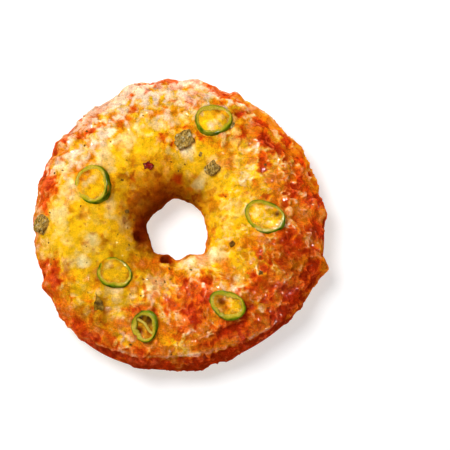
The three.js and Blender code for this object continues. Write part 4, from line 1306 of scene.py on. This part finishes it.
# %% [markdown]
# ## Roast pepper
# Roasting turns chlorophyll olive and then brown. The flesh is fibrous, so the colour runs in fine stripes
# from the skin side down, with pale glints painted between them as highlights.

# %% The pepper's material
PEPPER_SKIN = "#4c3206"
PEPPER_FLESH = "#d8ac4e"
PEPPER_GLINT_PALE = "#dccd96"
FIBRE_MM = 0.6
FIBRE_STRETCH = (1.0, 0.45, 0.3)  # the fibres are longer along y and z
GLINT_MM = 1.6


def roast_pepper():
    material, tree = new_material("roast green pepper")
    place = add_node(tree, "TexCoord", output="Object")
    high = add_node(tree, "Attribute", {"attribute_name": "high"}, output="Fac")
    stretched = add_node(tree, "Mapping", inputs={"Vector": place, "Scale": FIBRE_STRETCH})
    fibres = add_node(tree, "TexNoise", inputs={
        "Vector": stretched, "Scale": per_metre(FIBRE_MM), "Detail": 4.0, "Roughness": 0.7})
    patches = add_node(tree, "TexNoise", inputs={
        "Vector": place, "Scale": per_metre(GLINT_MM), "Detail": 2.0})
    fibre_share = add_node(tree, "MapRange", inputs={
        "Value": fibres, "From Min": 0.38, "From Max": 0.66})
    # Painted highlights: pale glints in patches
    glints = add_node(tree, "MapRange", inputs={
        "Value": patches, "From Min": 0.55, "From Max": 0.7, "To Max": 0.8})
    top = add_node(tree, "MapRange", inputs={
        "Value": high, "From Min": 0.2, "From Max": 1.0, "To Max": 0.2})
    colour = linear(PEPPER_SKIN)
    for share, over in ((fibre_share, PEPPER_FLESH), (glints, PEPPER_GLINT_PALE), (top, PEPPER_SKIN)):
        colour = add_node(tree, **COLOUR_MIX, inputs={SHARE: share, UNDER: colour, OVER: linear(over)})
    bump = add_node(tree, "Bump", inputs={"Height": fibres, "Strength": 0.6, "Distance": 0.0005})
    surface = add_node(tree, "BsdfPrincipled", inputs={
        "Base Color": colour, "Roughness": 0.42, "IOR": 1.45, "Specular IOR Level": 0.02, "Normal": bump})
    finish_material(tree, surface)
    return material


pepper_material = roast_pepper()


def make_dice(number):
    dice = DICE[number]
    length, width, height = dice["size"]
    points, faces = rounded_block(length, width, height, DICE_CUTS, number + 1)
    points[:, 2] += height / 2 - dice["sunk"]
    at, axes = seat(dice["angle"], dice["distance"], dice["turn"])
    make_piece(
        f"roast_pepper_{number + 1}", at + points @ axes, faces, pepper_material,
        {"high": points[:, 2] / height}, [f"pepper_dice_{number + 1}"])


for number in range(len(DICE)):
    make_dice(number)

# %% [markdown]
# ## Scraps and herbs
# Small things lie in the cheese: the tip of a chilli, bits of browned pepper and tomato, torn herb leaves
# and many dark flecks of dried herb. Each is a small uneven chip, flat and half sunk. All flecks are one
# mesh.

# %% Chips of one kind in one piece
# [angle, distance, length, width, height, turn] of each scrap
CHILLI_TIP = [(227.3, 48.7, 5.8, 5.2, 1.1, 100)]
BROWNED_BITS = [(61.2, 45, 2.8, 2.0, 1.0, 60), (72, 28.8, 1.8, 1.2, 0.7, 70)]
TOMATO_BITS = [(121.5, 26.9, 3.2, 2.6, 0.9, 20), (119.2, 25.8, 2.6, 2.0, 0.8, 60)]
HERB_LEAVES = [
    (171.9, 23, 2.4, 1.8, 0.8, 10), (333.4, 25.4, 2.2, 1.8, 0.8, 30), (324.6, 41.5, 2.2, 1.8, 0.8, 80),
]
CHIP_CUTS = 6
CHIP_UNEVENNESS = 0.2  # of its width
CHIP_RISE = 0.1  # of its height, above half sunk
NEAREST_POINTS = 6


def surface_lift(angle, distance):
    """How high the cheese stands at a place, from the mesh's nearest points."""
    away = away_from(skin_place, angle, distance)
    return float(lift[np.argsort(away)[:NEAREST_POINTS]].mean())


def chip(row, seed, taper):
    angle, distance, length, width, height, turn = row
    points, faces = rounded_block(length, width, height, CHIP_CUTS, seed, CHIP_UNEVENNESS * width)
    points[:, 1] *= 1 - taper * (points[:, 0] / length + 0.5)
    at, axes = seat(angle, distance, turn)
    sunk = plain_thickness(arc_at(angle, distance)) - surface_lift(angle, distance)
    return at + axes[2] * (CHIP_RISE * height - sunk) + points @ axes, faces


def make_chips(name, rows, material, seed, taper=0.0):
    all_points = []
    all_faces = []
    for number, row in enumerate(rows):
        points, faces = chip(row, seed + number, taper)
        offset = sum(len(p) for p in all_points)
        all_faces += [tuple(i + offset for i in face) for face in faces]
        all_points.append(points)
    points = np.concatenate(all_points)
    return make_piece(name, points, all_faces, material, {"high": np.full(len(points), 0.5)})


# %% [markdown]
# ## Dried herbs and tomato skin
# Dried oregano and parsley are crumbled leaf: matte, brown where the oven caught them and olive elsewhere.
# The bit of tomato is skin and pulp, dark red and wet.

# %% Materials of the scraps
HERB_BROWN = "#562a06"
HERB_OLIVE = "#7e5c14"
TOMATO_DARK = "#5c0a04"
TOMATO_RED = "#9c1e06"
CHILLI_TIP_OLIVE = "#a87c1c"


def speckled(name, dark, light, roughness, size_mm):
    material, tree = new_material(name)
    place = add_node(tree, "TexCoord", output="Object")
    speckles = add_node(tree, "TexNoise", inputs={
        "Vector": place, "Scale": per_metre(size_mm), "Detail": 3.0, "Roughness": 0.6})
    share = add_node(tree, "MapRange", inputs={
        "Value": speckles, "From Min": 0.35, "From Max": 0.65})
    colour = add_node(tree, **COLOUR_MIX, inputs={SHARE: share, UNDER: linear(dark), OVER: linear(light)})
    bump = add_node(tree, "Bump", inputs={"Height": speckles, "Strength": 0.5, "Distance": 0.0003})
    surface = add_node(tree, "BsdfPrincipled", inputs={
        "Base Color": colour, "Roughness": roughness, "Specular IOR Level": 0.02, "Normal": bump})
    finish_material(tree, surface)
    return material


herb_material = speckled("dried oregano leaf", HERB_BROWN, HERB_OLIVE, roughness=0.75, size_mm=0.8)
tomato_material = speckled("cooked tomato skin", TOMATO_DARK, TOMATO_RED, roughness=0.25, size_mm=1.2)
tip_material = speckled("roast chilli tip", PEPPER_SKIN, CHILLI_TIP_OLIVE, roughness=0.5, size_mm=2.0)

make_chips("chilli_tip", CHILLI_TIP, tip_material, seed=300, taper=0.9)
make_chips("browned_pepper_bits", BROWNED_BITS, pepper_material, seed=310)
make_chips("tomato_bits", TOMATO_BITS, tomato_material, seed=320)
make_chips("herb_leaves", HERB_LEAVES, herb_material, seed=330)

# %% Scatter the flecks
FLECK_SEED = 12
FLECK_COUNT = 46
FLECK_LENGTH = (0.5, 1.1)
FLECK_SLIMNESS = (0.4, 0.8)
FLECK_HEIGHT = 0.4
# Most lie on this side of the ring, spread by so many degrees, and between these distances from its middle
FLECK_SIDE, FLECK_SPREAD = 200, 75
FLECK_DISTANCES = (20, 58)
CLEAR_OF_RINGS = 8.5


def fleck_rows(count):
    """Flecks lie anywhere on the upper skin, thicker on the left, and never in a chilli ring."""
    rng = np.random.default_rng(FLECK_SEED)
    rows = []
    while len(rows) < count:
        angle = rng.normal(FLECK_SIDE, FLECK_SPREAD) % 360
        distance = rng.uniform(*FLECK_DISTANCES)
        long = rng.uniform(*FLECK_LENGTH)
        away = [away_from(spot(angle, distance), ring["angle"], ring["distance"]) for ring in SLICES]
        if min(away) > CLEAR_OF_RINGS:
            wide = long * rng.uniform(*FLECK_SLIMNESS)
            rows.append((angle, distance, long, wide, FLECK_HEIGHT, rng.uniform(0, 360)))
    return rows


make_chips("herb_flecks", fleck_rows(FLECK_COUNT), herb_material, seed=400)

# %% [markdown]
# ## The bread
# Under the cheese the ring is plain baked dough, smooth where it rose and quite flat where it lay on the
# tray. It shows below the edge of the topping, all round and inside the hole. The same section, lofted
# finely.

# %% Shape of the bread
BREAD_POINTS = 240
BREAD_ARC_STEPS = 72
BASE_STEPS = 16
DENT_DEPTH = 0.25
DENT_SIZE = 7
DENT_FADE = 3  # mm: towards the foot the dents fade out, as the sine of the height over this


def bread_points():
    arcs = np.linspace(-BASE_ANGLE, math.pi + BASE_ANGLE, BREAD_ARC_STEPS)
    rows, turn = row_places([BREAD_POINTS] * (BREAD_ARC_STEPS + BASE_STEPS - 1))
    on_skin = rows < BREAD_ARC_STEPS
    arc = arcs[np.minimum(rows, BREAD_ARC_STEPS - 1)]
    points = skin_point(turn, arc)
    inner, outer = skin_point(turn, math.pi + BASE_ANGLE), skin_point(turn, -BASE_ANGLE)
    share = np.clip((rows - BREAD_ARC_STEPS + 1) / BASE_STEPS, 0, 1)[:, None]
    points = np.where(on_skin[:, None], points, inner + (outer - inner) * share)
    fading = np.sin(np.clip(points[:, 2] / DENT_FADE, 0, math.pi / 2))
    dents = np.where(on_skin, DENT_DEPTH * fine_noise(points, DENT_SIZE, seed=500) * fading, 0)
    normal = skin_point(turn, arc, 1.0) - skin_point(turn, arc)
    points = points + normal * dents[:, None]
    points[:, 2] = np.maximum(points[:, 2], 0)
    return points


# %% [markdown]
# ## Baked dough
# Bread crust browns first where it is thin and hot: at the foot, which touched the tray, and just under the
# cheese, where oil ran down. Between them it stays pale. The surface is matte with a faint skin sheen and
# fine pores.

# %% The bread's material
DOUGH_PALE = "#eccb93"
DOUGH_GOLD = "#d9a052"
DOUGH_BROWN = "#b0752f"
PORE_MM = 0.8
BLOTCH_MM = 9
# In metres above the tray: how far blotches move the two borders, the brown foot, and where the gold begins
BLOTCH_RISE = 0.006
FOOT_FADES = (0.0025, 0.006)
GOLD_FADES = (0.006, 0.013)
FOOT_BROWN = 0.75  # how much brown shows at the foot


def baked_dough():
    material, tree = new_material("baked bread dough")
    place = add_node(tree, "TexCoord", output="Object")
    height = add_node(tree, "SeparateXYZ", inputs={0: place}, output="Z")
    blotch = add_node(tree, "TexNoise", inputs={
        "Vector": place, "Scale": per_metre(BLOTCH_MM), "Detail": 4.0, "Roughness": 0.6})
    pores = add_node(tree, "TexNoise", inputs={
        "Vector": place, "Scale": per_metre(PORE_MM), "Detail": 3.0, "Roughness": 0.7})
    uneven_height = add_node(tree, "Math", {"operation": "MULTIPLY_ADD"}, {
        0: blotch, 1: BLOTCH_RISE, 2: height})
    gold = add_node(tree, "MapRange", {"interpolation_type": "SMOOTHSTEP"}, {
        "Value": uneven_height, "From Min": GOLD_FADES[0], "From Max": GOLD_FADES[1]})
    foot = add_node(tree, "MapRange", {"interpolation_type": "SMOOTHSTEP"}, {
        "Value": uneven_height, "From Min": FOOT_FADES[0], "From Max": FOOT_FADES[1],
        "To Min": FOOT_BROWN, "To Max": 0.0})
    colour = linear(DOUGH_PALE)
    for share, over in ((gold, DOUGH_GOLD), (foot, DOUGH_BROWN)):
        colour = add_node(tree, **COLOUR_MIX, inputs={SHARE: share, UNDER: colour, OVER: linear(over)})
    shade = add_node(tree, "MapRange", inputs={
        "Value": pores, "From Min": 0.3, "From Max": 0.7, "To Min": 0.88, "To Max": 1.08})
    colour = add_node(tree, "VectorMath", {"operation": "SCALE"}, {0: colour, "Scale": shade})
    bump = add_node(tree, "Bump", inputs={"Height": pores, "Strength": 0.35, "Distance": 0.0004})
    surface = add_node(tree, "BsdfPrincipled", inputs={
        "Base Color": colour, "Roughness": 0.6, "IOR": 1.45, "Specular IOR Level": 0.05, "Normal": bump,
        "Subsurface Weight": 0.1, "Subsurface Radius": (1.0, 0.6, 0.3), "Subsurface Scale": 0.002})
    finish_material(tree, surface)
    return material


bread_faces = zipped_rows([BREAD_POINTS] * (BREAD_ARC_STEPS + BASE_STEPS - 1))
make_piece("baked_bread", bread_points(), bread_faces, baked_dough(), replaces=["dough_ring"])

# %% [markdown]
# ## Floor and light
# The photograph has a white ground with a soft grey shadow to the right, so the main light is a large soft
# box on the far left. It lights without glare, as through a polarising filter. Three small lamps do the
# opposite: they give no light, and only show as small glints on the oil and the chilli rings. The world
# fills the rest. The floor glows like a lit table, so that shadows stay pale.

# %% Floor, lamps and world
FLOOR_SIZE = 4.0
FLOOR_DROP = 0.0002
FLOOR_PAPER = "#c8c8c8"
FLOOR_GLOW = 0.49
WHITE = "#ffffff"
LAMPS_AIM = (0, 0, 0.015)
WINDOW = dict(place=(-0.28, 0.18, 0.84), size=0.46, watts=8.0)
GLINT_PLACES = [(-0.30, 0.30, 0.80), (0.40, 0.35, 0.72), (0.50, -0.42, 0.58)]
GLINT_SIZE = 0.18
GLINT_WATTS = 20.0
WORLD_STRENGTH = 0.28


def make_floor():
    bpy.ops.mesh.primitive_plane_add(size=FLOOR_SIZE, location=(0, 0, -FLOOR_DROP))
    floor = bpy.context.object
    floor.name = "floor"
    material, tree = new_material("white paper")
    surface = add_node(tree, "BsdfPrincipled", inputs={
        "Base Color": linear(FLOOR_PAPER), "Roughness": 0.9, "Specular IOR Level": 0.1,
        "Emission Color": linear(WHITE), "Emission Strength": FLOOR_GLOW})
    finish_material(tree, surface)
    floor.data.materials.append(material)
    floor.visible_glossy = False


def make_soft_box(name, place, size, watts):
    data = bpy.data.lights.new(name, "AREA")
    data.shape = "DISK"
    data.size = size
    data.energy = watts
    lamp = bpy.data.objects.new(name, data)
    bpy.context.collection.objects.link(lamp)
    lamp.location = place
    back = np.array(place) - np.array(LAMPS_AIM)
    tilt = math.acos(back[2] / np.linalg.norm(back))
    lamp.rotation_euler = (tilt, 0, math.atan2(back[1], back[0]) + math.pi / 2)
    return lamp


def make_world():
    world = bpy.data.worlds.new("white room")
    bpy.context.scene.world = world
    world.use_nodes = True
    background = world.node_tree.nodes["Background"]
    background.inputs["Color"].default_value = linear(WHITE)
    background.inputs["Strength"].default_value = WORLD_STRENGTH
    world.cycles_visibility.glossy = False


make_floor()
window = make_soft_box("window_light", **WINDOW)
window.visible_glossy = False
for number, place in enumerate(GLINT_PLACES):
    glint = make_soft_box(f"glint_light_{number + 1}", place, GLINT_SIZE, GLINT_WATTS)
    glint.visible_diffuse = False
make_world()
bpy.context.scene.view_settings.view_transform = "Standard"
print("a window and", len(GLINT_PLACES), "glint lamps")
